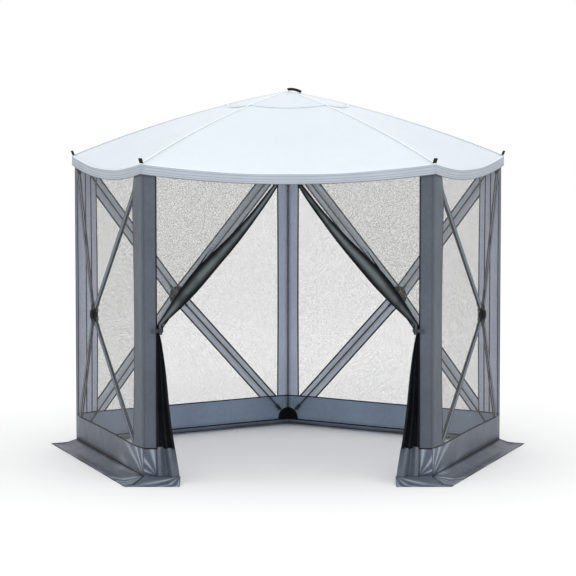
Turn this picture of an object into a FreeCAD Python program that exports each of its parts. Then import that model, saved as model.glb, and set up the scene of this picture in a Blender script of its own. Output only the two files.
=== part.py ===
"""A five-sided pop-up screen house: a fabric shell held out by glass-fibre poles on sprung hubs.

Every wall but the door wall carries a hub with four poles that run to the wall's corners, and the roof
carries a hub with five poles. Pushing a hub past the flat position lets the pole set relax.

Frame: +Z up, the ground at Z = 0, the door wall faces -Y, and the origin is under the middle of the
footprint's box. Millimetres. A wall is drawn in its own frame: X runs along the wall, Y is the distance
from the middle of the house (outwards positive) and Z is up.
"""

import FreeCAD, Part

import math
import os

from FreeCAD import Vector

# ---- driving dimensions -------------------------------------------------------------------------
SIDES = 5
SIDE = 1690.0                 # length of one wall
WALL_BOTTOM = 40.0            # the wall fabric ends this far above the ground
WALL_TOP = 1874.0             # height of the roof's corners
APEX = 2290.0                 # height of the roof fabric's peak
EAVE_SAG = 60.0               # how far the middle of each eave hangs below its corners
RIDGE_ARCH = 38.0             # how far each ridge bows up between hub and corner
ROOF_POLE_BOW = 0.1           # half the angle, in radians, that a roof pole bends through
HUB_HEIGHT = 925.0            # height of the wall hubs
HUB_OUT = 100.0               # how far a popped-out wall hub stands outside the wall's flat plane
CLOTH = 2.0                   # modelled thickness of the wall fabric
ROOF_CLOTH = 3.0              # modelled thickness of the roof fabric
WALL_OUTLINE_DROP = 12.0      # the wall fabric ends this far under the eave, behind the valance
CAP_SHARE = 0.27              # the roof cap's share of the roof's radius
VALANCE_HEIGHT = 56.0
VALANCE_OUT = 18.0            # gap between the wall plane and the valance
FOOT_BAND = 165.0             # height of the solid band at the foot of a wall
STRIP = 80.0                  # width of a corner strip on each wall
WIDE_STRIP = 165.0            # the wider strips: beside the door wall, and at the rear walls' outer ends
DOOR_STRIP = 76.0             # the corner strip on the door wall itself
REAR_BAND = 92.0              # width of the diagonal bands on the two rear walls
SIDE_BAND = 36.0              # width of the diagonal bands on the two side walls
SKIRT_OUT = 147.0             # how far the ground skirt reaches from the wall
SKIRT_KNEE = 85.0             # where the sloping skirt meets its flat hem
SKIRT_CLOTH = 3.0

# ---- poles and hubs -----------------------------------------------------------------------------
POLE_R = 4.75
POLE_INSET = 18.0             # pole axis to the inner face of the fabric
PIN_R = 3.0
PIN_CLEARANCE = 0.05
PIN_CIRCLE = 38.0             # hub centre to pivot pin
TANG = 8.0                    # thickness of the flat tang that the pin goes through
EAR = 4.0                     # thickness of a hub ear
EAR_GAP = 9.2
PLATE_IN = 9.5                # hub mid-plane to the inner face of a star plate
PLATE_OUT = 12.0              # hub mid-plane to the outer face of a star plate
STAR_R = 48.0                 # hub centre to the end of a star arm
STAR_WAIST_R = 25.0
SOCKET_R = 7.5
SOCKET_END = 62.0             # pivot to the mouth of the ferrule's socket
SOCKET_START = 18.0
SOCKET_FLOOR = 24.0
ROD_FIT = 0.1                 # radial gap between the rod and its ferrule or boot
BOOT_R = 10.0                 # the boot is the cap on a pole's far end, sewn to the corner
BOOT_LENGTH = 45.0
BOOT_SOCKET = 36.0
BOOT_SETBACK = 100.0          # wall corner to the end of a wall pole
ROOF_BOOT_SETBACK = 80.0      # roof corner to the end of a roof pole
ROOF_HUB_GAP = 8.0            # extra room under the peak, where the ridges fall away from the hub
PATCH_R = 84.0
PATCH = 4.0
CAP_R = 33.0                  # the clamp disc outside the fabric of a wall hub
ROOF_CAP_R = 17.0             # the same on the roof hub
CAP = 6.0                     # thickness of a clamp disc
CAP_BEVEL = 7.0
CAP_GAP = 1.0                 # room for the fabric under the disc
STEM_R = 5.0
STEM_HOLE_R = 14.0
STRAP_WIDTH = 25.0            # webbing
STRAP = 2.5
STRAP_SPAN = 60.0             # a wall hub's pull strap lies nearly flat across its disc
STRAP_RISE = 5.5
HANDLE_BEFORE = 4.0           # the handle starts this far before the roof hub's axis
HANDLE_SPAN = 82.0            # the roof hub's strap is rolled into a thicker handle beside the peak
HANDLE = 8.0
HANDLE_GAP = 9.0              # finger room under the middle of the handle
ARM_HALF = 11.0               # half the width of a hub's star arm
BOSS_R = 16.0
EAR_FROM = 15.0               # hub centre to the start of an ear
EAR_LENGTH = 31.0
PIN_HEAD = 1.5                # thickness of a pin's head, and how far it stands proud of the shank
EYE_R = 6.0                   # the round end of a ferrule's tang
TANG_HEIGHT = 10.0
BOOT_CHAMFER = 3.0
GLUE_GAP = 0.5                # the rod stops this short of the floor of its socket
LOOP_HEIGHT = 30.0            # a webbing tab at a roof corner, folded double
LOOP_HALF = 4.2
LOOP_WIDTH = 22.0
LOOP_LEAN = 0.45
LOOP_INSET = 12.0             # the loop's foot lies this far in from the eave corner
LOOP_FOOT = 6.5               # and this far above the wall top

# ---- door ---------------------------------------------------------------------------------------
TIE_HEIGHT = 915.0
ROLL_TOP = (52.0, 1750.0)     # where the rolled edge starts: along the wall from its middle, and height
ROLL_OUT = 8.0                # the roll's axis stands this far outside the wall plane
ROLL_RADII = (9.0, 45.0, 14.0)
ROLL_WIDEST = 0.66            # share of the roll's length at its widest place
DRAPE = ((20.0, 910.0), (32.0, 830.0), (74.0, 490.0), (111.0, 205.0), (132.0, 40.0))
DRAPE_IN = 38.0
DRAPE_OUT = 14.0
DOOR_SKIRT = 214.0            # width of the skirt left beside the doorway
SKIRT_NOTCH = 60.0            # height and side margin of the room the gathered door needs in its skirt
TIE_INSET = 22.0              # door strip's edge to the middle of the tied bundle
TIE_LOW, TIE_HIGH = 26.0, 6.0 # the tie strap's edges below TIE_HEIGHT
TIE_SLACK = 16.0
TIE_TAIL = 30.0               # how far the tie strap reaches over the corner strip
TOGGLE_R = 5.0
TOGGLE_HALF = 18.0
TOGGLE_STEM_R = 2.2
TOGGLE_OUT = 9.0              # strap to the peg's axis
ZIP_TOP = 1796.0
ZIP_LOW = 1750.0
ZIP_TAPE = 14.0
ZIP_HALF_GAP = 0.5
SLIDER_HALF = (6.0, 9.0)      # half its width and height
SLIDER_PLATE = 5.0
PULL_DROP = 2.0               # the pull's pin below the tape's end
PULL_OUT = 8.0                # and outside the tape
PULL_PIN_R = 0.9
PULL_EYE_R = 2.2
PULL_LENGTH = 38.0
PULL_NECK = (1.8, 12.0)       # half its width, and where it starts to widen
PULL_BLADE = (4.5, 16.0)
PULL_THICK = 2.0
APART = 0.3                   # least gap between neighbours that aren't joined

# ---- derived ------------------------------------------------------------------------------------
HALF = SIDE / 2
TURN = math.pi / SIDES                        # half of a wall's share of the circle
RADIUS = HALF / math.sin(TURN)                # house centre to a corner
FLAT = HALF / math.tan(TURN)                  # house centre to a wall's flat plane
EAVE_FLAT = FLAT + VALANCE_OUT + CLOTH
EAVE_HALF = EAVE_FLAT * math.tan(TURN)
EAVE_RADIUS = EAVE_FLAT / math.cos(TURN)
FRONT_REACH = FLAT + SKIRT_OUT
REAR_REACH = (FLAT + SKIRT_OUT) / math.cos(TURN)
Y_SHIFT = (FRONT_REACH - REAR_REACH) / 2      # puts the origin under the middle of the footprint
ROOF_HUB_Z = APEX - ROOF_CLOTH - POLE_INSET - ROOF_HUB_GAP
DOOR_EDGE = HALF - DOOR_STRIP                 # where the doorway starts on each side
PULL_PIN_Z = ZIP_LOW - PULL_DROP

WALL_ANGLES = {"front": -90, "right": -18, "rear_right": 54, "rear_left": 126, "left": 198}
HUB_WALLS = ("left", "rear_left", "rear_right", "right")
# the corner at the low X end of each wall's frame, then the one at its high end
WALL_CORNERS = {
    "front": ("front_right", "front_left"),
    "right": ("side_right", "front_right"),
    "rear_right": ("rear", "side_right"),
    "rear_left": ("side_left", "rear"),
    "left": ("front_left", "side_left"),
}
CORNER_ANGLES = {"front_left": 234, "front_right": -54, "side_right": 18, "rear": 90, "side_left": 162}


# ---- placing ------------------------------------------------------------------------------------
def wall_placement(wall):
    turn = FreeCAD.Rotation(Vector(0, 0, 1), WALL_ANGLES[wall] - 90)
    return FreeCAD.Placement(Vector(0, Y_SHIFT, 0), turn)


def on_wall(shape, wall):
    """The shape, drawn in a wall's frame, moved to that wall."""
    moved = shape.copy()
    moved.Placement = wall_placement(wall).multiply(moved.Placement)
    return moved


def frame_placement(origin, x_axis, y_axis):
    """Places a shape drawn at the origin so that its X and Y run along the two given directions."""
    x = Vector(x_axis).normalize()
    y = Vector(y_axis).normalize()
    z = x.cross(y)
    matrix = FreeCAD.Matrix(x.x, y.x, z.x, origin.x, x.y, y.y, z.y, origin.y, x.z, y.z, z.z, origin.z)
    return FreeCAD.Placement(matrix)


def placed(shape, placement):
    moved = shape.copy()
    moved.Placement = placement.multiply(moved.Placement)
    return moved


def centred(shape):
    """Moves a shape drawn about the house's own axis to its place about the origin."""
    moved = shape.copy()
    moved.translate(Vector(0, Y_SHIFT, 0))
    return moved


# ---- simple solids ------------------------------------------------------------------------------
def prism(points, along):
    """A polygon's face swept along a vector."""
    face = Part.Face(Part.makePolygon([Vector(*p) for p in points] + [Vector(*points[0])]))
    return face.extrude(Vector(*along))


def wall_region(points, depth_from=-60.0, depth_to=260.0):
    """A polygon in a wall's X and Z, swept across the wall between two depths about its flat plane."""
    return prism([(x, FLAT + depth_from, z) for x, z in points], (0, depth_to - depth_from, 0))


def rectangle(x0, x1, z0, z1):
    return [(x0, z0), (x1, z0), (x1, z1), (x0, z1)]


def rod(start, end, radius):
    axis = end - start
    return Part.makeCylinder(radius, axis.Length, start, axis)


def fused(shapes):
    whole = shapes[0]
    for shape in shapes[1:]:
        whole = whole.fuse(shape)
    return whole.removeSplitter()


def sector():
    """One wall's share of the plan, so that neighbours meet on the corner's bisector."""
    reach = 2 * RADIUS
    width = reach * math.tan(TURN)
    return prism([(0, 0, -10), (-width, reach, -10), (width, reach, -10)], (0, 0, APEX + 100))


def eave_height(share):
    """Height of the eave at a share, from -1 to 1, of the way from its middle to a corner."""
    return WALL_TOP - EAVE_SAG * (1 - share * share)


def arc_band(half, top, height, sag):
    """A closed outline in X and Z between two sagging arcs."""
    def arc(z):
        return Part.Arc(Vector(-half, 0, z), Vector(0, 0, z - sag), Vector(half, 0, z)).toShape()

    low = arc(top - height)
    high = arc(top)
    sides = [
        Part.LineSegment(Vector(x, 0, top - height), Vector(x, 0, top)).toShape() for x in (-half, half)
    ]
    return Part.Face(Part.Wire(Part.sortEdges([low, high, *sides])[0]))


# ---- fabric walls -------------------------------------------------------------------------------
def wall_outline():
    top = WALL_TOP - WALL_OUTLINE_DROP
    face = arc_band(HALF, top, top - WALL_BOTTOM + EAVE_SAG, EAVE_SAG)
    face.translate(Vector(0, FLAT - 60, 0))
    arched = face.extrude(Vector(0, 320, 0))
    return arched.common(wall_region(rectangle(-2 * SIDE, 2 * SIDE, WALL_BOTTOM, WALL_TOP)))


def wall_corners():
    return {
        "low_left": (-HALF, WALL_BOTTOM),
        "low_right": (HALF, WALL_BOTTOM),
        "high_right": (HALF, WALL_TOP),
        "high_left": (-HALF, WALL_TOP),
    }


def pyramid_skins():
    """The four flat triangles between a popped-out hub and the wall's edges."""
    at = wall_corners()
    overrun = 4.0 / HALF                       # a little past the corner, for the mitre
    skins = {}
    for name, (a, b) in {
        "foot": ("low_left", "low_right"),
        "head": ("high_left", "high_right"),
        "left": ("low_left", "high_left"),
        "right": ("low_right", "high_right"),
    }.items():
        hub = Vector(0, FLAT + HUB_OUT, HUB_HEIGHT)
        ends = [Vector(at[k][0], FLAT, at[k][1]) for k in (a, b)]
        ends = [e + (e - hub) * overrun for e in ends]
        skins[name] = prism([tuple(hub), tuple(ends[0]), tuple(ends[1])], (0, CLOTH, 0))
    return skins


def arm_region(corner, width):
    """The strip of a wall along one pole, on that pole's side of the hub."""
    run = Vector(corner[0], 0, corner[1] - HUB_HEIGHT)
    side = Vector(run.z, 0, -run.x).normalize() * (width / 2)
    far = run * 1.1
    near = run * -0.1
    points = [near + side, far + side, far - side, near - side]
    strip = wall_region([(p.x, p.z + HUB_HEIGHT) for p in points])
    x_end = math.copysign(2 * SIDE, corner[0])
    z_end = 2 * APEX if corner[1] > HUB_HEIGHT else -APEX
    quadrant = wall_region([(0, HUB_HEIGHT), (x_end, HUB_HEIGHT), (x_end, z_end), (0, z_end)])
    return strip.common(quadrant)


def wall_fabric(wall):
    """One wall's mesh, diagonal bands, corner strips and foot band, in the wall's frame."""
    width = REAR_BAND if wall.startswith("rear") else SIDE_BAND
    wide_end = "side" if wall.startswith("rear") else "front"
    strips = [WIDE_STRIP if c.startswith(wide_end) else STRIP for c in WALL_CORNERS[wall]]
    outline = wall_outline()
    wedge = sector()
    skins = {k: s.common(outline).common(wedge) for k, s in pyramid_skins().items()}
    foot_top = WALL_BOTTOM + FOOT_BAND
    foot_zone = wall_region(rectangle(-SIDE, SIDE, 0, foot_top))
    left_zone = wall_region(rectangle(-SIDE, -HALF + strips[0], foot_top, APEX))
    right_zone = wall_region(rectangle(HALF - strips[1], SIDE, foot_top, APEX))
    open_zone = wall_region(rectangle(-HALF + strips[0], HALF - strips[1], foot_top, APEX))
    hole = rod(Vector(0, FLAT, HUB_HEIGHT), Vector(0, FLAT + 2 * HUB_OUT, HUB_HEIGHT), STEM_HOLE_R)
    arms = {k: arm_region(c, width) for k, c in wall_corners().items()}

    def gathered(zone):
        parts = [s.common(zone) for s in skins.values()]
        return fused([p for p in parts if p.Volume > 1])

    mesh = []
    for skin in skins.values():
        panel = skin.common(open_zone)
        for arm in arms.values():
            panel = panel.cut(arm)
        mesh += panel.cut(hole).Solids
    bands = [gathered(open_zone.common(arm)).cut(hole) for arm in arms.values()]
    return {
        "mesh": mesh,
        "bands": bands,
        "strips": [gathered(left_zone), gathered(right_zone)],
        "foot": [gathered(foot_zone)],
    }


def door_wall_strips():
    """The corner strips' parts on the door wall, mitred at the house's corners."""
    flat = wall_region(rectangle(-HALF - 2 * CLOTH, HALF + 2 * CLOTH, WALL_BOTTOM, APEX), 0, CLOTH)
    flat = flat.common(wall_outline().common(sector()))
    strips = []
    for side in (-1, 1):
        ends = sorted((side * DOOR_EDGE, side * (HALF + 2 * CLOTH)))
        strips.append(flat.common(wall_region(rectangle(*ends, 0, APEX))))
    return strips


def skirt_parts(x_low, x_high):
    """The sloping skirt and its flat hem along part of a wall, mitred at the house's corners."""
    def swept(profile):
        points = [(x_low, FLAT + y, z) for y, z in profile]
        return prism(points, (x_high - x_low, 0, 0)).common(sector())

    gap = CLOTH + 0.2
    slope = [(gap, WALL_BOTTOM - 2), (gap, WALL_BOTTOM + 1), (SKIRT_KNEE, SKIRT_CLOTH), (SKIRT_KNEE, 0)]
    hem = [(SKIRT_KNEE, 0), (SKIRT_KNEE, SKIRT_CLOTH), (SKIRT_OUT, SKIRT_CLOTH), (SKIRT_OUT, 0)]
    return [swept(slope), swept(hem)]


def corner_patch(x_sign, top):
    """A quarter-round reinforcing patch inside a wall's corner."""
    z = WALL_TOP - EAVE_SAG / 4 if top else WALL_BOTTOM
    disc = Part.makeCylinder(PATCH_R, PATCH, Vector(x_sign * HALF, FLAT - PATCH, z), Vector(0, 1, 0))
    z_zone = (z - PATCH_R, z) if top else (z, z + PATCH_R)
    zone = wall_region(rectangle(min(0, x_sign * SIDE), max(0, x_sign * SIDE), *z_zone))
    return disc.common(zone).common(sector())


# ---- roof ---------------------------------------------------------------------------------------
def roof_point(share, across):
    """A point on top of the roof in a wall's frame: share from peak to eave, across from -1 to 1."""
    ridge = WALL_TOP + (APEX - WALL_TOP) * (1 - share) + 4 * RIDGE_ARCH * share * (1 - share)
    sag = EAVE_SAG * share * share * (1 - across * across)
    return Vector(across * share * EAVE_HALF, share * EAVE_FLAT, ridge - sag)


def cloth_solid(rows, thickness):
    """A closed solid from rows of points on its top surface, swept straight down by its thickness."""
    down = Vector(0, 0, -thickness)
    faces = []

    def add(*points):
        faces.append(Part.Face(Part.makePolygon([*points, points[0]])))

    for near, far in zip(rows, rows[1:]):
        for a, b, c, d in zip(near, near[1:], far[1:], far):
            add(a, b, c)
            add(a, c, d)
            add(a + down, c + down, b + down)
            add(a + down, d + down, c + down)
    left = [r[0] for r in rows]
    right = [r[-1] for r in rows]
    for edge in (left, right, rows[0], rows[-1]):
        for a, b in zip(edge, edge[1:]):
            add(a, b, b + down, a + down)
    return Part.Solid(Part.makeShell(faces))


def roof_panel(share_from, share_to, steps=2):
    """One sewn panel as a left and a right patch for each step down it."""
    patches = []
    for k in range(steps):
        ends = [share_from + (share_to - share_from) * (k + j) / steps for j in (0, 1)]
        shares = [ends[0], (ends[0] + ends[1]) / 2, ends[1]]
        for half in ((-1, -0.5, 0), (0, 0.5, 1)):
            solid = cloth_solid([[roof_point(s, a) for a in half] for s in shares], ROOF_CLOTH)
            if solid.Volume < 0:
                solid.reverse()
            patches.append(solid)
    return patches


def valance_panel():
    face = arc_band(EAVE_HALF, WALL_TOP - ROOF_CLOTH - 0.5, VALANCE_HEIGHT, EAVE_SAG)
    face.translate(Vector(0, FLAT + VALANCE_OUT, 0))
    return face.extrude(Vector(0, CLOTH, 0)).common(sector())


def corner_loop(corner):
    """A webbing tab folded into a narrow loop, which stands up and leans out from a roof corner."""
    angle = math.radians(CORNER_ANGLES[corner])
    out = Vector(math.cos(angle), math.sin(angle), 0)
    base = out * (EAVE_RADIUS - LOOP_INSET) + Vector(0, Y_SHIFT, WALL_TOP + LOOP_FOOT)

    def rounded(half, low):
        top = Vector(0, 0, LOOP_HEIGHT - LOOP_HALF)
        bow = Part.makeCylinder(half, LOOP_WIDTH, top, Vector(0, 1, 0))
        return bow.fuse(Part.makeBox(2 * half, LOOP_WIDTH, top.z - low, Vector(-half, 0, low)))

    loop = rounded(LOOP_HALF, 0).cut(rounded(LOOP_HALF - STRAP, STRAP)).removeSplitter()
    loop.translate(Vector(0, -LOOP_WIDTH / 2, 0))
    lean = (out * LOOP_LEAN + Vector(0, 0, 1)).normalize()
    across = Vector(-out.y, out.x, 0)
    return placed(loop, frame_placement(base, across.cross(lean), across))


# ---- hubs and poles -----------------------------------------------------------------------------
def star_plate(angles, y_from, y_to):
    """A plate with an arm along each angle and hollow sides between, in a hub's own frame."""
    step = angles[1:] + [angles[0] + 2 * math.pi]
    edges = []
    tips = []
    for a in angles:
        r = Vector(math.cos(a), 0, math.sin(a))
        t = Vector(-math.sin(a), 0, math.cos(a))
        tips.append((r * STAR_R - t * ARM_HALF, r * STAR_R + t * ARM_HALF))
    for k, (a, b) in enumerate(zip(angles, step)):
        mid = (a + b) / 2
        start = tips[k][1]
        end = tips[(k + 1) % len(tips)][0]
        waist = Vector(math.cos(mid), 0, math.sin(mid)) * STAR_WAIST_R
        edges.append(Part.LineSegment(tips[k][0], tips[k][1]).toShape())
        edges.append(Part.Arc(start, waist, end).toShape())
    face = Part.Face(Part.Wire(Part.sortEdges(edges)[0]))
    face.translate(Vector(0, y_from, 0))
    return face.extrude(Vector(0, y_to - y_from, 0))


def hub_core(angles):
    """Two star plates joined by a boss and, for each pole, a pair of ears."""
    parts = [
        star_plate(angles, -PLATE_OUT, -PLATE_IN),
        star_plate(angles, PLATE_IN, PLATE_OUT),
        Part.makeCylinder(BOSS_R, 2 * PLATE_IN, Vector(0, -PLATE_IN, 0), Vector(0, 1, 0)),
    ]
    holes = []
    for a in angles:
        r = Vector(math.cos(a), 0, math.sin(a))
        t = Vector(0, 1, 0).cross(r)
        for side in (-1, 1):
            inner = EAR_GAP / 2 if side > 0 else -EAR_GAP / 2 - EAR
            ear = Part.makeBox(EAR_LENGTH, EAR, 2 * PLATE_IN, Vector(EAR_FROM, inner, -PLATE_IN))
            parts.append(placed(ear, frame_placement(Vector(), r, t)))
        holes.append(Part.makeCylinder(PIN_R, 2 * STAR_R, r * PIN_CIRCLE - t * STAR_R, t))
    core = fused(parts)
    for hole in holes:
        core = core.cut(hole)
    return core


def hub_pins(angles):
    """One headed pin per pole."""
    pins = []
    reach = EAR_GAP / 2 + EAR
    for a in angles:
        r = Vector(math.cos(a), 0, math.sin(a))
        t = Vector(0, 1, 0).cross(r)
        at = r * PIN_CIRCLE
        shank = Part.makeCylinder(PIN_R, 2 * reach, at - t * reach, t)
        heads = [
            Part.makeCylinder(PIN_R + PIN_HEAD, PIN_HEAD, at + t * reach, t),
            Part.makeCylinder(PIN_R + PIN_HEAD, PIN_HEAD, at - t * (reach + PIN_HEAD), t),
        ]
        pins.append(fused([shank, *heads]))
    return pins


def hub_cap(cloth, radius):
    """The clamp disc with its stem through the fabric to the hub, and where its outer face is."""
    under = POLE_INSET + cloth + CAP_GAP
    stem = Part.makeCylinder(STEM_R, under - PLATE_OUT, Vector(0, PLATE_OUT, 0), Vector(0, 1, 0))
    disc = Part.makeCone(radius, radius - CAP_BEVEL, CAP, Vector(0, under, 0), Vector(0, 1, 0))
    return fused([stem, disc]), under + CAP


def arched_strap(start, end, rise, thickness):
    """Webbing from start to end in the XZ plane, arched up by rise in its middle and centred on Y."""
    middle = (start + end) * 0.5
    inset = Vector(end - start).normalize() * thickness
    crown = middle + Vector(0, 0, rise)
    outer = Part.Arc(start, crown, end).toShape()
    inner = Part.Arc(start + inset, crown - Vector(0, 0, thickness), end - inset).toShape()
    feet = [Part.makeLine(start, start + inset), Part.makeLine(end - inset, end)]
    face = Part.Face(Part.Wire(Part.sortEdges([outer, inner, *feet])[0]))
    face.translate(Vector(0, -STRAP_WIDTH / 2, 0))
    return face.extrude(Vector(0, STRAP_WIDTH, 0))


def pull_strap(base):
    """The pull strap on a wall hub's clamp disc, in the hub's frame. It runs up and down."""
    ends = Vector(-STRAP_SPAN / 2, 0, 0), Vector(STRAP_SPAN / 2, 0, 0)
    strap = arched_strap(*ends, STRAP_RISE, STRAP)
    return placed(strap, frame_placement(Vector(0, base, 0), Vector(0, 0, 1), Vector(1, 0, 0)))


def bowed_rod(length, bend):
    """A rod's solid along X, straight at both ends and bowed up between them, and the wire that it follows.

    It starts at SOCKET_FLOOR and ends in the boot. bend is half the angle that it turns through.
    """
    rise = Vector(math.cos(bend), 0, math.sin(bend))
    fall = Vector(math.cos(bend), 0, -math.sin(bend))
    first = rise * SOCKET_END
    last = Vector(length, 0, 0) - fall * SOCKET_END
    start = rise * (SOCKET_FLOOR + GLUE_GAP)
    finish = Vector(length, 0, 0) - fall * (BOOT_LENGTH - BOOT_SOCKET + GLUE_GAP)
    if bend == 0:
        return rod(start, finish, POLE_R)
    half = (last - first) * 0.5
    crown = first + half + Vector(0, 0, half.Length * math.tan(bend / 2))
    arc = Part.Arc(first, crown, last).toShape()
    wire = Part.Wire([Part.makeLine(start, first), arc, Part.makeLine(last, finish)])
    ring = Part.Wire(Part.makeCircle(POLE_R, start, rise))
    return wire.makePipeShell([ring], True, False)


def pole(length, bend):
    """A pole along X from its pivot pin: ferrule with tang, rod and boot. The pin runs along Y.

    Ferrule and boot are drawn straight and then turned by the rod's slope at each end.
    """
    along = Vector(1, 0, 0)
    across = Vector(0, 1, 0)
    tang = Part.makeBox(SOCKET_START + 2, TANG, TANG_HEIGHT, Vector(0, -TANG / 2, -TANG_HEIGHT / 2))
    eye = Part.makeCylinder(EYE_R, TANG, Vector(0, -TANG / 2, 0), across)
    socket = Part.makeCylinder(SOCKET_R, SOCKET_END - SOCKET_START, Vector(SOCKET_START, 0, 0), along)
    ferrule = fused([tang, eye, socket])
    ferrule = ferrule.cut(Part.makeCylinder(PIN_R + PIN_CLEARANCE, 2 * TANG, Vector(0, -TANG, 0), across))
    bore = Part.makeCylinder(POLE_R + ROD_FIT, SOCKET_END, Vector(SOCKET_FLOOR, 0, 0), along)
    ferrule = ferrule.cut(bore)
    ferrule.rotate(Vector(), across, -math.degrees(bend))
    mouth = length - BOOT_LENGTH
    tip = Vector(length - BOOT_CHAMFER, 0, 0)
    cup = Part.makeCylinder(BOOT_R, BOOT_LENGTH - BOOT_CHAMFER, Vector(mouth, 0, 0), along)
    nose = Part.makeCone(BOOT_R, BOOT_R - BOOT_CHAMFER, BOOT_CHAMFER, tip, along)
    boot = fused([cup, nose])
    boot = boot.cut(Part.makeCylinder(POLE_R + ROD_FIT, BOOT_SOCKET, Vector(mouth, 0, 0), along))
    boot.rotate(Vector(length, 0, 0), across, math.degrees(bend))
    return [ferrule, bowed_rod(length, bend), boot]


def pole_line(centre, corner, out, setback):
    """A pole's pivot, its end, its direction seen square on, and its pin's direction.

    The pole points at a fixed spot just inside its corner, and stops short of it.
    """
    flat_run = corner - centre
    flat_run -= out * flat_run.dot(out)
    radial = Vector(flat_run).normalize()
    pivot = centre + radial * PIN_CIRCLE
    end = corner - Vector(corner - pivot).normalize() * setback
    return {"pivot": pivot, "end": end, "corner": corner, "radial": radial, "pin": radial.cross(out)}


def wall_pole_lines():
    """The line of each pole of a wall, in the wall's frame."""
    centre = Vector(0, FLAT + HUB_OUT - POLE_INSET, HUB_HEIGHT)
    return {
        name: pole_line(centre, Vector(x, FLAT - POLE_INSET, z), Vector(0, 1, 0), BOOT_SETBACK)
        for name, (x, z) in wall_corners().items()
    }


def roof_pole_lines():
    """The line of each roof pole, about the origin."""
    centre = Vector(0, Y_SHIFT, ROOF_HUB_Z)
    lines = {}
    for name, degrees in CORNER_ANGLES.items():
        a = math.radians(degrees)
        corner = Vector(math.cos(a), math.sin(a), 0) * RADIUS
        corner += Vector(0, Y_SHIFT, WALL_TOP - ROOF_CLOTH - POLE_INSET)
        lines[name] = pole_line(centre, corner, Vector(0, 0, 1), ROOF_BOOT_SETBACK)
    return lines


def pole_on(line, bend=0.0):
    """A pole placed on its line. It bows away from the pin's right-hand side, which is out of the house."""
    run = line["end"] - line["pivot"]
    place = frame_placement(line["pivot"], run, line["pin"] * -1)
    return [placed(s, place) for s in pole(run.Length, bend)]


def wall_hub():
    """A wall hub's core, pins, cap and strap in the wall's frame."""
    angles = sorted(math.atan2(z - HUB_HEIGHT, x) % (2 * math.pi) for x, z in wall_corners().values())
    place = FreeCAD.Placement(Vector(0, FLAT + HUB_OUT - POLE_INSET, HUB_HEIGHT), FreeCAD.Rotation())
    cap, cap_face = hub_cap(CLOTH, CAP_R)
    return {
        "core": [placed(hub_core(angles), place)],
        "pins": [placed(p, place) for p in hub_pins(angles)],
        "strap": [placed(cap, place), placed(pull_strap(cap_face), place)],
    }


def roof_hub():
    """The roof hub about the origin. Its own Y axis, which points out of the house, is turned to +Z."""
    angles = sorted(math.radians(a) % (2 * math.pi) for a in CORNER_ANGLES.values())
    # with the hub's Y turned to +Z its X stays and its Z runs to -Y, so the angles change sign
    angles = sorted((-a) % (2 * math.pi) for a in angles)
    place = frame_placement(Vector(0, Y_SHIFT, ROOF_HUB_Z), Vector(1, 0, 0), Vector(0, 0, 1))
    cap, cap_face = hub_cap(ROOF_HUB_GAP + ROOF_CLOTH, ROOF_CAP_R)
    cap = placed(cap, place)
    return {
        "core": [placed(hub_core(angles), place)],
        "pins": [placed(p, place) for p in hub_pins(angles)],
        "strap": [cap, centred(roof_strap(ROOF_HUB_Z + cap_face)).cut(cap)],
    }


def roof_strap(foot_z):
    """The roof hub's handle: it starts on the clamp disc and lies off to one side of the peak."""
    start = Vector(-HANDLE_BEFORE, 0, foot_z)
    end = Vector(HANDLE_SPAN, 0, roof_point(HANDLE_SPAN / EAVE_RADIUS, 1).z + CAP_GAP)
    return arched_strap(start, end, HANDLE_GAP + HANDLE, HANDLE)


# ---- door ---------------------------------------------------------------------------------------
def door_curtain(side):
    """One half of the door, pulled aside: taut mesh, rolled edge, gathered drape, foot band and skirt."""
    inner = DOOR_EDGE

    def at(x, z):
        return side * x, z

    roll_axis = [Vector(side * ROLL_TOP[0], FLAT + ROLL_OUT, ROLL_TOP[1])]
    tie = Vector(side * (inner - TIE_INSET), FLAT + ROLL_OUT, TIE_HEIGHT + TIE_INSET)
    roll_axis.append(roll_axis[0] + (tie - roll_axis[0]) * ROLL_WIDEST)
    roll_axis.append(tie)
    direction = tie - roll_axis[0]

    def wound(extra):
        rings = [Part.makeCircle(r + extra, p, direction) for r, p in zip(ROLL_RADII, roll_axis)]
        return Part.makeLoft([Part.Wire(r) for r in rings], True, True)

    edge = inner - APART
    top = WALL_TOP - WALL_OUTLINE_DROP
    outline = [at(edge, top), at(ROLL_TOP[0], top), at(*ROLL_TOP), at(tie.x * side, tie.z)]
    outline.append(at(edge, tie.z + TIE_HIGH))
    mesh = wall_region(outline, 0, CLOTH).common(wall_outline()).cut(wound(APART))
    widths = [(edge - w, z) for w, z in DRAPE]
    drape = [at(edge, DRAPE[0][1])] + [at(*p) for p in widths[:4]] + [at(edge, DRAPE[3][1])]
    foot = [at(edge, DRAPE[3][1])] + [at(*p) for p in widths[3:]] + [at(edge, DRAPE[4][1] + CLOTH)]
    ends = sorted((side * (HALF - DOOR_SKIRT), side * 2 * HALF))
    skirt = skirt_parts(*ends)
    sides = sorted((side * (inner + CLOTH), side * (HALF - DOOR_SKIRT - SKIRT_NOTCH)))
    room = wall_region(rectangle(*sides, 0, SKIRT_NOTCH), -DRAPE_IN - CLOTH, DRAPE_OUT + APART)
    gathered = [wall_region(points, -DRAPE_IN, DRAPE_OUT) for points in (drape, foot)]
    return [*mesh.Solids, wound(0), *gathered, skirt[0].cut(room), skirt[1]]


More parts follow.
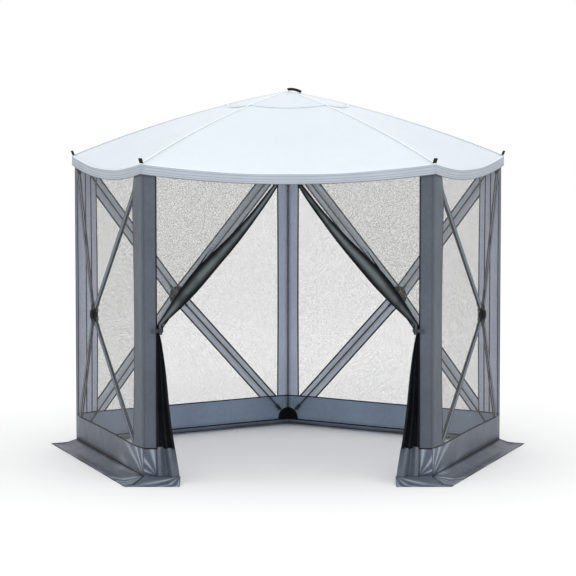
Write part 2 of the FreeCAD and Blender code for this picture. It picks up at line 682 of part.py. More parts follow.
def tie_strap(side):
    """The webbing ring that holds the gathered curtain, sewn to the corner strip."""
    z0, z1 = TIE_HEIGHT - TIE_LOW, TIE_HEIGHT - TIE_HIGH
    x0, x1 = DOOR_EDGE - DRAPE[0][0] - TIE_SLACK, DOOR_EDGE + TIE_TAIL
    y0, y1 = -DRAPE_IN - 1, DRAPE_OUT + 1
    ring = [(side * x, z) for x, z in rectangle(x0 - STRAP, x1, z0, z1)]
    room = [(side * x, z) for x, z in rectangle(x0, x1 + STRAP, z0 - 1, z1 + 1)]
    outer = wall_region(ring, y0 - STRAP, y1 + STRAP)
    inside = wall_region(room, y0, y1)
    return [outer.cut(inside)]


def toggle_centre(side):
    middle = TIE_HEIGHT - (TIE_LOW + TIE_HIGH) / 2
    return Vector(side * (DOOR_EDGE - TIE_INSET), FLAT + DRAPE_OUT + 1 + STRAP + TOGGLE_OUT, middle)


def tie_toggle(side):
    """A peg on a short stem. It turns to lie along its loop when the curtain is let go."""
    centre = toggle_centre(side)
    peg = rod(centre - Vector(TOGGLE_HALF, 0, 0), centre + Vector(TOGGLE_HALF, 0, 0), TOGGLE_R)
    stem = rod(centre - Vector(0, TOGGLE_OUT, 0), centre, TOGGLE_STEM_R)
    return [fused([peg, stem])]


def door_zip():
    """The closed top of the door's zip: two tapes and the slider parked at its lower end."""
    tapes = [
        wall_region(rectangle(x, x + ZIP_TAPE, ZIP_LOW, ZIP_TOP), 0, CLOTH)
        for x in (-ZIP_TAPE - ZIP_HALF_GAP, ZIP_HALF_GAP)
    ]
    wide, tall = SLIDER_HALF
    plate = rectangle(-wide, wide, ZIP_LOW - tall, ZIP_LOW + tall)
    wedge = rectangle(-ZIP_HALF_GAP + 0.1, ZIP_HALF_GAP - 0.1, ZIP_LOW - tall, ZIP_LOW + tall / 2)
    body = [
        wall_region(plate, CLOTH + 0.5, CLOTH + 0.5 + SLIDER_PLATE),
        wall_region(plate, -0.5 - SLIDER_PLATE, -0.5),
        wall_region(wedge, -1, CLOTH + 1),
    ]
    lug = SLIDER_PLATE - 1
    for x in (-lug, lug / 2):
        cheek = rectangle(x, x + lug / 2, PULL_PIN_Z - 3, PULL_PIN_Z + 3)
        body.append(wall_region(cheek, CLOTH + SLIDER_PLATE, CLOTH + 2 * SLIDER_PLATE))
    y = FLAT + CLOTH + PULL_OUT
    body.append(rod(Vector(-lug, y, PULL_PIN_Z), Vector(lug, y, PULL_PIN_Z), PULL_PIN_R))
    return [*tapes, fused(body)]


def door_zip_pull():
    """The slider's pull tab, which hangs from a small pin."""
    y = FLAT + CLOTH + PULL_OUT
    neck, shoulder = PULL_NECK
    blade, widest = PULL_BLADE
    edge = [(neck, 0), (neck, shoulder), (blade, widest), (blade, PULL_LENGTH)]
    points = [(x, drop) for x, drop in edge] + [(-x, drop) for x, drop in reversed(edge)]
    tab = prism([(x, y - PULL_THICK / 2, PULL_PIN_Z - drop) for x, drop in points], (0, PULL_THICK, 0))
    eye = rod(Vector(-neck, y, PULL_PIN_Z), Vector(neck, y, PULL_PIN_Z), PULL_EYE_R)
    hole = rod(Vector(-blade, y, PULL_PIN_Z), Vector(blade, y, PULL_PIN_Z), PULL_PIN_R + PIN_CLEARANCE)
    return [fused([eye, tab]).cut(hole)]


# ---- assembly -----------------------------------------------------------------------------------
def pole_name(wall, place):
    """Names a wall pole by its wall, its height and the house corner that it runs to."""
    low_corner, high_corner = WALL_CORNERS[wall]
    corner = low_corner if place.endswith("left") else high_corner
    height = "lower" if place.startswith("low") else "upper"
    return f"pole_{wall}_{height}_{corner}"


def model():
    """Every node of the model, by name, as a list of solids."""
    nodes = {}

    def add(name, solids):
        nodes.setdefault(name, []).extend(solids)

    lines = wall_pole_lines()
    hub = wall_hub()
    fabric = {w: wall_fabric(w) for w in HUB_WALLS}
    for wall in HUB_WALLS:
        cloth = fabric[wall]
        add(f"wall_mesh_{wall}", [on_wall(s, wall) for s in cloth["mesh"]])
        add("diagonal_bands", [on_wall(s, wall) for s in cloth["bands"]])
        add("corner_strips", [on_wall(s, wall) for s in cloth["strips"]])
        add("wall_foot_bands", [on_wall(s, wall) for s in cloth["foot"]])
        add("ground_skirt", [on_wall(s, wall) for s in skirt_parts(-SIDE, SIDE)])
        add(f"hub_{wall}", [on_wall(s, wall) for s in hub["core"]])
        add(f"hub_{wall}_pins", [on_wall(s, wall) for s in hub["pins"]])
        add(f"hub_{wall}_strap", [on_wall(s, wall) for s in hub["strap"]])
        for place, line in lines.items():
            add(pole_name(wall, place), [on_wall(s, wall) for s in pole_on(line)])
            x_sign = -1 if place.endswith("left") else 1
            patch = corner_patch(x_sign, place.startswith("high"))
            add("corner_patches", [on_wall(patch, wall)])
    add("corner_strips", [on_wall(s, "front") for s in door_wall_strips()])

    for wall in WALL_ANGLES:
        add("roof_canopy", [on_wall(s, wall) for s in roof_panel(CAP_SHARE, 1.0)])
        add("roof_cap", [on_wall(s, wall) for s in roof_panel(STEM_HOLE_R / EAVE_FLAT, CAP_SHARE, 1)])
        add("valance", [on_wall(valance_panel(), wall)])
    hub = roof_hub()
    add("hub_roof", hub["core"])
    add("hub_roof_pins", hub["pins"])
    add("hub_roof_strap", hub["strap"])
    for corner, line in roof_pole_lines().items():
        add(f"pole_roof_{corner}", pole_on(line, ROOF_POLE_BOW))
        add("roof_corner_loops", [corner_loop(corner)])

    for name, side in {"left": 1, "right": -1}.items():
        add(f"door_curtain_{name}", [on_wall(s, "front") for s in door_curtain(side)])
        add(f"tie_strap_{name}", [on_wall(s, "front") for s in tie_strap(side)])
        add(f"tie_toggle_{name}", [on_wall(s, "front") for s in tie_toggle(side)])
    add("door_zip_slider", [on_wall(s, "front") for s in door_zip()])
    add("door_zip_pull", [on_wall(s, "front") for s in door_zip_pull()])
    return nodes


def main():
    os.makedirs("parts", exist_ok=True)
    for name, solids in model().items():
        flat = [s for shape in solids for s in shape.Solids]
        bad = [k for k, s in enumerate(flat) if not s.isValid() or s.Volume < 1]
        if bad or not flat:
            raise ValueError(f"{name}: {len(flat)} solids, and {bad} are not valid")
        Part.makeCompound(flat).exportStep(os.path.join("parts", f"{name}.step"))
        print(f"{name}: {len(flat)} solids")


if __name__ == "__main__":
    main()
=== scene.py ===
import math

import bpy
import numpy as np
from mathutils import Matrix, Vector


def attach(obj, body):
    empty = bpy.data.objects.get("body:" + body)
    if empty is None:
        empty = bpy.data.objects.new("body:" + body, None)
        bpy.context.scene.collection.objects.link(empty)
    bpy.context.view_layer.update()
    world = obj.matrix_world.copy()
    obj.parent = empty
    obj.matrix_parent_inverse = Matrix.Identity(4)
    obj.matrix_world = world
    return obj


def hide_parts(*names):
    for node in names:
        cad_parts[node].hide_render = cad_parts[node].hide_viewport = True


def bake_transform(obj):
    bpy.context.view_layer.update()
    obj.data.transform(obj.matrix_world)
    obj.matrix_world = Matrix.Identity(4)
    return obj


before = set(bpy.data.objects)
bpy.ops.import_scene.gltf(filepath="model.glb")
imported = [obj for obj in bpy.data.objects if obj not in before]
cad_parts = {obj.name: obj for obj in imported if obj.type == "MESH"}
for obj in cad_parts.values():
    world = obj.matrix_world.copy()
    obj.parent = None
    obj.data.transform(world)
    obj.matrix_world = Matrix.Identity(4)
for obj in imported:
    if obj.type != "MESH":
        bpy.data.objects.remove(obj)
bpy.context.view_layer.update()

# ---- sizes, in metres: the same as the CAD's ----------------------------------------------------
SIDES = 5
SIDE = 1.690
BOTTOM = 0.040
TOP = 1.874
APEX = 2.290
EAVE_SAG = 0.060
RIDGE_ARCH = 0.038
HUB_Z = 0.925
HUB_OUT = 0.100
CAP_SHARE = 0.27
CAP_BOW = 0.13
VALANCE = 0.056
FOOT_TOP = BOTTOM + 0.165
STRIP = 0.080
FRONT_STRIP = 0.165
DOOR_STRIP = 0.076
REAR_BAND = 0.092
SIDE_BAND = 0.036
SKIRT_KNEE = 0.085
SKIRT_OUT = 0.147
PATCH_R = 0.084
HUB_PATCH_R = 0.066
TIE_Z = 0.915
DOOR_SKIRT = 0.214
HEAD_GAP = 0.012
TUCK = 0.012
DRAWN_IN = 0.016
ROOF_COLUMNS = 24
OUTER_SEAMS = (0.078, 0.121)
PIPING_R = 0.0042
HANDLE_ENDS = (-0.003, 0.082)
HANDLE_R = 0.0098

# the rolled curtain: its top in the door wall, its radius and its bow at places down to the tie, the turns of
# cloth in it and the cloth's width per turn
ROLL_TOP = (0.050, 1.782)
ROLL_PLACES = (0.0, 0.06, 0.14, 0.25, 0.40, 0.60, 0.70, 0.81, 0.91, 1.0)
ROLL_RADII = (0.009, 0.015, 0.018, 0.022, 0.031, 0.044, 0.048, 0.041, 0.028, 0.013)
ROLL_BOW = (0.0, 0.007, 0.014, 0.018, 0.018, 0.004, 0.0, 0.0, 0.0, 0.0)
ROLL_TURNS = 2.35
ROLL_PITCH = 0.12
LOOSE_EDGE = 0.010
# the hanging curtain's width at heights from the tie to the floor
DRAPE_HEIGHTS = (TIE_Z - 0.005, 0.830, 0.490, 0.205, BOTTOM - 0.006)
DRAPE_WIDTHS = (0.018, 0.032, 0.074, 0.111, 0.132)

# how far each cloth reaches below and above the surface that it is laid out on
LAYERS = {
    "strip": (-0.0014, 0.0014),
    "foot": (-0.0017, 0.0017),
    "band": (-0.001, 0.001),
    "hub_patch": (-0.0022, 0.0022),
    "corner_patch": (-0.0042, -0.0018),
    "overlay": (-0.0008, 0.0008),
    "drape": (-0.0008, 0.0006),
    "skirt": (-0.0014, 0.0006),
    "roof": (-0.0018, 0.0),
    "valance": (-0.0016, 0.0),
}
UP = (0, 0, 1)
OUT = (0, 1, 0)

HALF = SIDE / 2
TURN = math.pi / SIDES
FLAT = HALF / math.tan(TURN)
RADIUS = HALF / math.sin(TURN)
CLOTH_Y = FLAT + 0.001
EAVE_FLAT = FLAT + 0.020
EAVE_HALF = EAVE_FLAT * math.tan(TURN)
EAVE_RADIUS = EAVE_FLAT / math.cos(TURN)
Y_SHIFT = (FLAT + SKIRT_OUT) * (1 - 1 / math.cos(TURN)) / 2
CENTRE = np.array([0, Y_SHIFT, 0])
DOOR_EDGE = HALF - DOOR_STRIP

WALLS = {"front": -90, "right": -18, "rear_right": 54, "rear_left": 126, "left": 198}
HUB_WALLS = ("left", "rear_left", "rear_right", "right")
# strip widths at the low and the high end of each wall's own X
STRIPS = {
    "left": (FRONT_STRIP, STRIP),
    "rear_left": (FRONT_STRIP, STRIP),
    "rear_right": (STRIP, FRONT_STRIP),
    "right": (STRIP, FRONT_STRIP),
}
CORNERS = {"front_left": 234, "front_right": -54, "side_right": 18, "rear": 90, "side_left": 162}


# ---- meshes -------------------------------------------------------------------------------------
def outward(degrees):
    """The level direction at an angle round the house."""
    a = math.radians(degrees)
    return np.array([math.cos(a), math.sin(a), 0])


def turned(points, degrees):
    """Points turned about Z."""
    a = math.radians(degrees)
    x, y, z = points.T
    return np.stack([x * math.cos(a) - y * math.sin(a), x * math.sin(a) + y * math.cos(a), z], axis=1)


def to_world(wall, points):
    """Points in a wall's frame (X along it, Y out of the house from its middle, Z up) in the row frame."""
    return turned(np.asarray(points, float).reshape(-1, 3), WALLS[wall] - 90) + CENTRE


def placed(wall, data):
    """(points, faces, uv) taken from a wall's frame to the row frame."""
    return (to_world(wall, data[0]), *data[1:])


def new_object(name, points, faces, uv, material):
    """A mesh object. uv gives each point's place on the cloth in metres."""
    mesh = bpy.data.meshes.new(name)
    mesh.from_pydata([tuple(p) for p in points], [], [tuple(int(i) for i in f) for f in faces])
    layer = mesh.uv_layers.new(name="cloth")
    uv = np.asarray(uv, float)
    index = np.zeros(len(mesh.loops), np.int32)
    mesh.loops.foreach_get("vertex_index", index)
    layer.data.foreach_set("uv", uv[index].astype(np.float32).ravel())
    mesh.polygons.foreach_set("use_smooth", [True] * len(mesh.polygons))
    mesh.materials.append(material)
    mesh.validate()
    obj = bpy.data.objects.new(name, mesh)
    bpy.context.scene.collection.objects.link(obj)
    return obj


def grid_faces(rows, columns, closed=False, split=None):
    """Quads of a grid stored row by row. Where split(i, j) isn't 0, its sign picks a diagonal to cut."""
    faces = []
    for i in range(rows - 1):
        for j in range(columns if closed else columns - 1):
            k = (j + 1) % columns
            a, b, c, d = i * columns + j, i * columns + k, (i + 1) * columns + k, (i + 1) * columns + j
            side = split(i, j) if split else 0
            if side == 0:
                faces.append((a, b, c, d))
            elif side > 0:
                faces += [(a, b, c), (a, c, d)]
            else:
                faces += [(a, b, d), (b, c, d)]
    return faces


def thick(data, layer, direction=OUT):
    """Two copies of an open sheet, below and above it along direction, joined around their edges."""
    points, faces, uv = data
    low, high = LAYERS[layer]
    p = np.asarray(points, float)
    n = len(p)
    d = np.broadcast_to(np.asarray(direction, float), p.shape)
    both = np.concatenate([p + d * high, p + d * low])
    edges = dict.fromkeys((a, b) for f in faces for a, b in zip(f, f[1:] + f[:1]))
    walls = [(b, a, a + n, b + n) for a, b in edges if (b, a) not in edges]
    under = [tuple(i + n for i in reversed(f)) for f in faces]
    return both, list(faces) + under + walls, np.concatenate([uv, uv])


def facing(points, faces, direction):
    """The faces turned so that the first one looks along direction."""
    p = np.asarray(points, float)
    total = np.zeros(3)
    for f in faces[:: max(1, len(faces) // 50)]:
        total += np.cross(p[f[1]] - p[f[0]], p[f[2]] - p[f[0]])
    return faces if total @ np.asarray(direction, float) > 0 else [tuple(reversed(f)) for f in faces]


def woven(points, rows, columns, uv=None, direction=OUT, closed=False):
    """A grid of points with its faces turned towards direction. uv is x and z unless given."""
    uv = points[:, [0, 2]] if uv is None else uv
    return points, facing(points, grid_faces(rows, columns, closed), direction), uv


def doubled(data, layer, direction=OUT):
    """An open sheet given its thickness, and the area that it had as a sheet."""
    return thick(data, layer, direction), area_of(*data[:2])


def join_data(parts):
    """Several (points, faces, uv) as one."""
    points, faces, uv, start = [], [], [], 0
    for p, f, t in parts:
        points.append(np.asarray(p, float))
        uv.append(np.asarray(t, float))
        faces += [tuple(i + start for i in face) for face in f]
        start += len(p)
    return np.concatenate(points), faces, np.concatenate(uv)


def swept(line, profile, side, closed=True):
    """A profile, in (side, up) coordinates, swept along a line, with the direction of side along it."""
    line = np.asarray(line, float)
    side = np.broadcast_to(np.asarray(side, float), line.shape)
    run = np.gradient(line, axis=0)
    run /= np.linalg.norm(run, axis=1)[:, None]
    side = side - (side * run).sum(1)[:, None] * run
    side = side / np.linalg.norm(side, axis=1)[:, None]
    up = np.cross(run, side)
    profile = np.asarray(profile, float)
    if profile.ndim == 2:
        profile = np.broadcast_to(profile, (len(line), *profile.shape))
    points = line[:, None] + side[:, None] * profile[..., :1] + up[:, None] * profile[..., 1:]
    n = profile.shape[1]
    along = np.concatenate([[0], np.cumsum(np.linalg.norm(np.diff(line, axis=0), axis=1))])
    around = np.linspace(0, 0.02, n)
    uv = np.stack(np.broadcast_arrays(along[:, None], around[None]), axis=2).reshape(-1, 2)
    faces = grid_faces(len(line), n, closed=closed)
    if closed:
        faces += [tuple(range(n - 1, -1, -1)), tuple(range((len(line) - 1) * n, len(line) * n))]
    return points.reshape(-1, 3), faces, uv


def round_profile(radius, n=8, flat=1.0):
    a = np.linspace(0, 2 * math.pi, n, endpoint=False)
    return np.stack([np.cos(a) * radius, np.sin(a) * radius * flat], axis=1)


def tape_profile(width, thickness):
    """A flat tape with rounded edges."""
    w, t = width / 2, thickness / 2
    return np.array([(w, 0), (w * 0.93, t * 0.8), (w * 0.6, t), (-w * 0.6, t), (-w * 0.93, t * 0.8), (-w, 0),
                     (-w * 0.93, -t * 0.8), (-w * 0.6, -t), (w * 0.6, -t), (w * 0.93, -t * 0.8)])


def line_between(a, b, step=0.03):
    a, b = np.asarray(a, float), np.asarray(b, float)
    n = max(2, math.ceil(np.linalg.norm(b - a) / step) + 1)
    return a + (b - a) * np.linspace(0, 1, n)[:, None]


def area_of(points, faces):
    p = np.asarray(points, float)
    total = 0.0
    for f in faces:
        for k in range(1, len(f) - 1):
            total += np.linalg.norm(np.cross(p[f[k]] - p[f[0]], p[f[k + 1]] - p[f[0]])) / 2
    return total


# ---- materials ----------------------------------------------------------------------------------
# the colour of the highlight painted along the creases at the corners of the foot bands and skirts
CREASE_PAINTED_HIGHLIGHT = (0.42, 0.49, 0.56)


class Nodes:
    """Builds one procedural material."""

    def __init__(self, name):
        self.material = bpy.data.materials.new(name)
        self.material.use_nodes = True
        self.tree = self.material.node_tree
        self.shader = self.tree.nodes["Principled BSDF"]

    def feed(self, socket, value):
        """Links another node's output to the socket, or sets the socket to a value."""
        if hasattr(value, "links"):
            self.tree.links.new(value, socket)
        else:
            socket.default_value = value

    def add(self, kind, **inputs):
        node = self.tree.nodes.new("ShaderNode" + kind)
        for key, value in inputs.items():
            self.feed(node.inputs[key.replace("_", " ")], value)
        return node

    def math(self, operation, a, b=0.0, clamp=False, third=0.5):
        node = self.tree.nodes.new("ShaderNodeMath")
        node.operation = operation
        node.use_clamp = clamp
        for socket, value in zip(node.inputs, (a, b, third)):
            self.feed(socket, value)
        return node.outputs[0]

    def plus(self, a, b):
        return self.math("ADD", a, b)

    def times(self, a, b, clamp=False):
        return self.math("MULTIPLY", a, b, clamp)

    def mix(self, factor, a, b):
        node = self.tree.nodes.new("ShaderNodeMix")
        node.data_type = "RGBA"
        for socket, value in zip((node.inputs[0], node.inputs[6], node.inputs[7]), (factor, a, b)):
            self.feed(socket, value)
        return node.outputs[2]

    def ramp(self, factor, low, high):
        return self.add("MapRange", Value=factor, From_Min=low, From_Max=high).outputs["Result"]

    def uv(self):
        node = self.tree.nodes.new("ShaderNodeUVMap")
        node.uv_map = "cloth"
        return self.add("SeparateXYZ", Vector=node.outputs[0]).outputs[:2]

    def place(self):
        return self.tree.nodes.new("ShaderNodeTexCoord").outputs["Object"]

    def noise(self, vector, scale, detail=3.0, rough=0.5, stretch=None):
        if stretch:
            vector = self.add("Mapping", Vector=vector, Scale=stretch).outputs[0]
        return self.add("TexNoise", Vector=vector, Scale=scale, Detail=detail, Roughness=rough).outputs[0]

    def bump(self, height, strength, distance, normal=None):
        under = {} if normal is None else {"Normal": normal}
        return self.add("Bump", Height=height, Strength=strength, Distance=distance, **under).outputs[0]

    def set(self, **inputs):
        for key, value in inputs.items():
            self.feed(self.shader.inputs[key.replace("_", " ")], value)
        return self.material


def rgba(colour, k=1.0):
    return (*[min(1.0, c * k) for c in colour], 1.0)


def wave(n, coordinate, pitch):
    """0 to 1 and back once per pitch, in metres."""
    return n.math("MULTIPLY_ADD", n.math("SINE", n.times(coordinate, 2 * math.pi / pitch)), 0.5)


def weave(n, u, v, pitch=0.0012):
    return n.times(wave(n, u, pitch), wave(n, v, pitch))


def woven_material(name):
    """The nodes of a new material, and the place on its cloth and in space that they start from."""
    n = Nodes(name)
    return n, *n.uv(), n.place()


def fan_of_creases(n, u, v, corner, reach):
    """Creases that spread from a corner of the cloth, where it is pulled tight: a mask that bumps them and
    paints a highlight along them.
    """
    du = n.math("ABSOLUTE", n.math("SUBTRACT", u, corner[0]))
    dv = n.math("ABSOLUTE", n.math("SUBTRACT", v, corner[1]))
    angle = n.math("ARCTAN2", dv, du)
    far = n.math("SQRT", n.plus(n.times(du, du), n.times(dv, dv)))
    waver = n.times(n.noise(n.place(), 4.0, 2.0), 4.0)
    rays = n.math("SINE", n.plus(n.times(angle, 13.0), waver))
    rays = n.math("POWER", n.math("MULTIPLY_ADD", rays, 0.5, third=0.5), 3.0)
    fade = n.math("SUBTRACT", 1.0, n.math("DIVIDE", far, reach), clamp=True)
    start = n.times(far, 12.0, clamp=True)
    return n.times(rays, n.times(n.times(fade, start), 1.3), clamp=True)


def cloth(name, colour, rough=0.55, sheen=0.05, pitch=0.0012, ripstop=None, wrinkle=0.5, shine=0.0,
          variation=0.12, gloss=0.25, fan=None):
    """Coated woven polyester: a plain weave, slow wrinkles, and a little colour variation and wear.

    ripstop is the spacing of its heavier threads. fan is the corner in u and v from which creases spread, and
    how far they reach; a highlight is painted along these creases.
    """
    n, u, v, place = woven_material(name)
    threads = weave(n, u, v, pitch)
    broad = n.noise(place, 2.6, 3.0)
    fine = n.noise(place, 38.0, 4.0)
    grit = n.noise(place, 420.0, 2.0)
    tone = n.plus(n.times(broad, 0.6), n.times(fine, 0.4))
    base = n.mix(n.ramp(tone, 0.3, 0.7), rgba(colour, 1 - variation), rgba(colour, 1 + variation))
    base = n.mix(n.times(threads, 0.28), base, rgba(colour, 0.62))
    if ripstop:
        cell = n.math("MAXIMUM", n.math("GREATER_THAN", wave(n, u, ripstop), 0.985),
                      n.math("GREATER_THAN", wave(n, v, ripstop), 0.985))
        base = n.mix(n.times(cell, 0.22), base, rgba(colour, 0.7))
    base = n.mix(n.times(n.ramp(grit, 0.55, 0.8), 0.12), base, rgba(colour, 1.35))
    folds = n.noise(place, 5.5, 2.5, 0.45)
    crease = n.noise(place, 21.0, 3.0, 0.55, stretch=(1.0, 1.0, 0.35))
    normal = n.bump(folds, 0.55 * wrinkle, 0.03)
    normal = n.bump(crease, 0.35 * wrinkle, 0.006, normal)
    if fan:
        rays = fan_of_creases(n, u, v, fan[:2], fan[2])
        # painted highlight along the creases
        base = n.mix(n.times(rays, 0.7), base, rgba(CREASE_PAINTED_HIGHLIGHT))
        normal = n.bump(rays, 0.6, 0.012, normal)
    normal = n.bump(threads, 0.5, 0.0004, normal)
    roughness = n.plus(n.times(fine, 0.18), rough - 0.09)
    return n.set(Base_Color=base, Roughness=roughness, Normal=normal, Sheen_Weight=sheen, Sheen_Roughness=0.4,
                 Specular_IOR_Level=gloss, Coat_Weight=shine, Coat_Roughness=0.32)


def rolled_cloth(name, colour, painted_highlight_colour, pitch):
    """Dark coated cloth wound into a roll, with a highlight painted along the ridge that faces outwards."""
    n, u, v, place = woven_material(name)
    ridge = n.math("COSINE", n.times(v, 2 * math.pi / pitch))
    ridge = n.math("POWER", n.math("MULTIPLY_ADD", ridge, 0.5, third=0.5), 18.0)
    along = n.noise(place, 5.0, 3.0)
    fine = n.noise(place, 90.0, 4.0)
    threads = weave(n, u, v)
    # painted highlight: a lighter colour along the outward ridge of each turn, in patches along the roll
    painted_highlight = n.times(ridge, n.ramp(along, 0.28, 0.52), clamp=True)
    base = n.mix(n.ramp(fine, 0.35, 0.7), rgba(colour, 0.8), rgba(colour, 1.5))
    base = n.mix(n.times(painted_highlight, 0.85), base, rgba(painted_highlight_colour))
    base = n.mix(n.times(threads, 0.3), base, rgba(colour, 0.6))
    normal = n.bump(n.noise(place, 14.0, 3.0, 0.5), 0.5, 0.01)
    normal = n.bump(threads, 0.4, 0.0004, normal)
    return n.set(Base_Color=base, Roughness=n.plus(n.times(fine, 0.2), 0.36), Normal=normal,
                 Sheen_Weight=0.0, Specular_IOR_Level=0.02)


def valance_cloth(name, colour):
    """The eave band's cloth: darkened in lines along its length at its hem and its rows of stitching, painted
    shade for their grooves.
    """
    n, u, v, place = woven_material(name)
    threads = weave(n, u, v)
    broad = n.noise(place, 5.0, 3.0)
    fine = n.noise(place, 120.0, 3.0)
    base = n.mix(n.ramp(broad, 0.3, 0.7), rgba(colour, 0.95), rgba(colour, 1.05))
    base = n.mix(n.times(threads, 0.2), base, rgba(colour, 0.7))
    base = n.mix(n.times(n.ramp(fine, 0.5, 0.8), 0.1), base, rgba(colour, 1.3))
    lines = 0.0
    for depth, half, strength in (*[(d, 0.0016, 0.6) for d in (0.010, 0.028, 0.042)], (0.054, 0.003, 0.9)):
        near = n.math("LESS_THAN", n.math("ABSOLUTE", n.math("SUBTRACT", v, depth)), half)
        lines = n.plus(n.times(near, strength), lines)
    # painted shade along the stitch grooves and the hem
    base = n.mix(lines, base, rgba(colour, 0.42))
    normal = n.bump(n.noise(place, 9.0, 2.5), 0.3, 0.01)
    normal = n.bump(n.plus(threads, n.times(lines, -1.5)), 0.5, 0.0006, normal)
    roughness = n.plus(n.times(fine, 0.18), 0.46)
    return n.set(Base_Color=base, Roughness=roughness, Normal=normal, Sheen_Weight=0.05, Sheen_Roughness=0.4,
                 Specular_IOR_Level=0.25)


def screen(name, grain, colour=(0.19, 0.19, 0.18), open_share=0.70, pitch=0.0018):
    """Insect mesh: fine square threads with see-through holes, whose width varies in grains."""
    n, u, v, place = woven_material(name)
    solid = 1 - math.sqrt(open_share)
    level = 0.5 + 0.5 * math.cos(math.pi * solid)
    uneven = n.times(n.math("SUBTRACT", n.noise(place, 110.0, 2.0, 0.5), 0.5), grain)
    level = n.math("MINIMUM", n.plus(uneven, level), 0.985)

    def thread(coordinate):
        return n.math("GREATER_THAN", wave(n, coordinate, pitch), level)

    cover = n.math("MAXIMUM", thread(u), thread(v))
    patchy = n.noise(place, 14.0, 3.0)
    fine = n.noise(place, 300.0, 2.0)
    tone = n.plus(n.times(patchy, 0.5), n.times(fine, 0.5))
    base = n.mix(n.ramp(tone, 0.3, 0.7), rgba(colour, 0.86), rgba(colour, 1.12))
    normal = n.bump(n.plus(wave(n, u, pitch), wave(n, v, pitch)), 0.6, 0.0003)
    normal = n.bump(n.noise(place, 4.0, 2.0), 0.25, 0.02, normal)
    n.material.surface_render_method = "DITHERED"
    return n.set(Base_Color=base, Roughness=0.62, Normal=normal, Alpha=cover, Sheen_Weight=0.05,
                 Specular_IOR_Level=0.2)


def webbing(name, colour):
    """Woven tape: diagonal ribs across a fine weave."""
    n, u, v, place = woven_material(name)
    ribs = wave(n, n.plus(u, v), 0.0022)
    fine = n.noise(place, 160.0, 3.0)
    base = n.mix(n.times(ribs, 0.7), rgba(colour, 0.7), rgba(colour, 1.5))
    base = n.mix(n.times(n.ramp(fine, 0.5, 0.8), 0.3), base, rgba(colour, 2.2))
    normal = n.bump(ribs, 0.6, 0.0005)
    normal = n.bump(n.noise(place, 30.0, 3.0), 0.3, 0.002, normal)
    return n.set(Base_Color=base, Roughness=0.62, Normal=normal, Sheen_Weight=0.04, Sheen_Roughness=0.4,
                 Specular_IOR_Level=0.2)


def hard(name, colour, rough=0.42, metal=0.0, grain=900.0, wear=0.25, coat=0.0, along=None):
    """A moulded, drawn or turned hard surface with fine grain, scuffs and uneven gloss."""
    n = Nodes(name)
    place = n.place()
    fine = n.noise(place, grain, 2.0)
    scuff = n.noise(place, 55.0, 5.0, 0.65, stretch=along)
    broad = n.noise(place, 9.0, 2.0)
    base = n.mix(n.ramp(broad, 0.3, 0.7), rgba(colour, 0.85), rgba(colour, 1.15))
    scuffed = rgba([c * 1.6 + 0.05 for c in colour])
    base = n.mix(n.times(n.ramp(scuff, 0.6, 0.75), wear), base, scuffed)
    roughness = n.plus(n.times(scuff, 0.25), rough - 0.1)
    normal = n.bump(fine, 0.35, 0.0003)
    normal = n.bump(scuff, 0.12, 0.0008, normal)
    return n.set(Base_Color=base, Roughness=roughness, Normal=normal, Metallic=metal, Coat_Weight=coat,
                 Coat_Roughness=0.2)


ROOF = cloth("roof_cloth", (0.73, 0.80, 0.86), rough=0.5, pitch=0.0011, ripstop=0.011, wrinkle=0.35,
             variation=0.025)
VALANCE_CLOTH = valance_cloth("valance_cloth", (0.41, 0.46, 0.52))
SLATE = cloth("slate_cloth", (0.078, 0.094, 0.120), rough=0.5, wrinkle=0.9, variation=0.2)
# the inside faces of the strips and bands: their own lighter tone, brightened further with painted light to
# make up for the shade inside the house
STRIP_LINING_LIT = cloth("strip_lining_lit", (0.52, 0.56, 0.68), wrinkle=0.4)
BAND = cloth("band_cloth", (0.125, 0.15, 0.185), wrinkle=0.4)
BAND_LINING_LIT = cloth("band_lining_lit", (0.56, 0.60, 0.68), wrinkle=0.4)
# the foot bands' cloth, a darker shade of the cloth on the door curtain's foot: painted shade
FOOT = {
    place: cloth(f"foot_cloth_{place}", (0.085, 0.102, 0.140), rough=0.42, wrinkle=0.9, fan=fan)
    for place, fan in {
        "left": (-HALF, BOTTOM, 0.75),
        "right": (HALF, BOTTOM, 0.75),
        "rear": None,
        "door_left": (DOOR_EDGE, BOTTOM, 0.4),
        "door_right": (-DOOR_EDGE, BOTTOM, 0.4),
    }.items()
}
FOOT_LINING = cloth("foot_lining", (0.22, 0.28, 0.37), rough=0.5, wrinkle=0.6)
# one skirt cloth in two shades, darker along the walls and lighter beside the door: painted shade and light
# for how the lamps fall on them
WALL_SKIRT_SHADED_COLOUR, DOOR_SKIRT_LIT_COLOUR = (0.064, 0.080, 0.110), (0.088, 0.105, 0.140)
SKIRT = {
    place: cloth(f"skirt_cloth_{place}", colour, rough=0.42, wrinkle=1.0, fan=fan)
    for place, colour, fan in (
        ("left", WALL_SKIRT_SHADED_COLOUR, (-HALF, 0.0, 0.65)),
        ("right", WALL_SKIRT_SHADED_COLOUR, (HALF, 0.0, 0.65)),
        ("rear", WALL_SKIRT_SHADED_COLOUR, None),
        ("door_left", DOOR_SKIRT_LIT_COLOUR, (HALF - DOOR_SKIRT, 0.0, 0.4)),
        ("door_right", DOOR_SKIRT_LIT_COLOUR, (DOOR_SKIRT - HALF, 0.0, 0.4)),
    )
}
# the door curtain's foot: the foot bands' cloth in a lighter shade, painted light
DOOR_FOOT_LIT = cloth("door_foot_lit_cloth", (0.115, 0.135, 0.17), rough=0.4, wrinkle=1.0, shine=0.1, variation=0.25)
DARK = cloth("curtain_cloth", (0.010, 0.0115, 0.014), rough=0.42, wrinkle=0.8, gloss=0.03, sheen=0.0,
             variation=0.4)
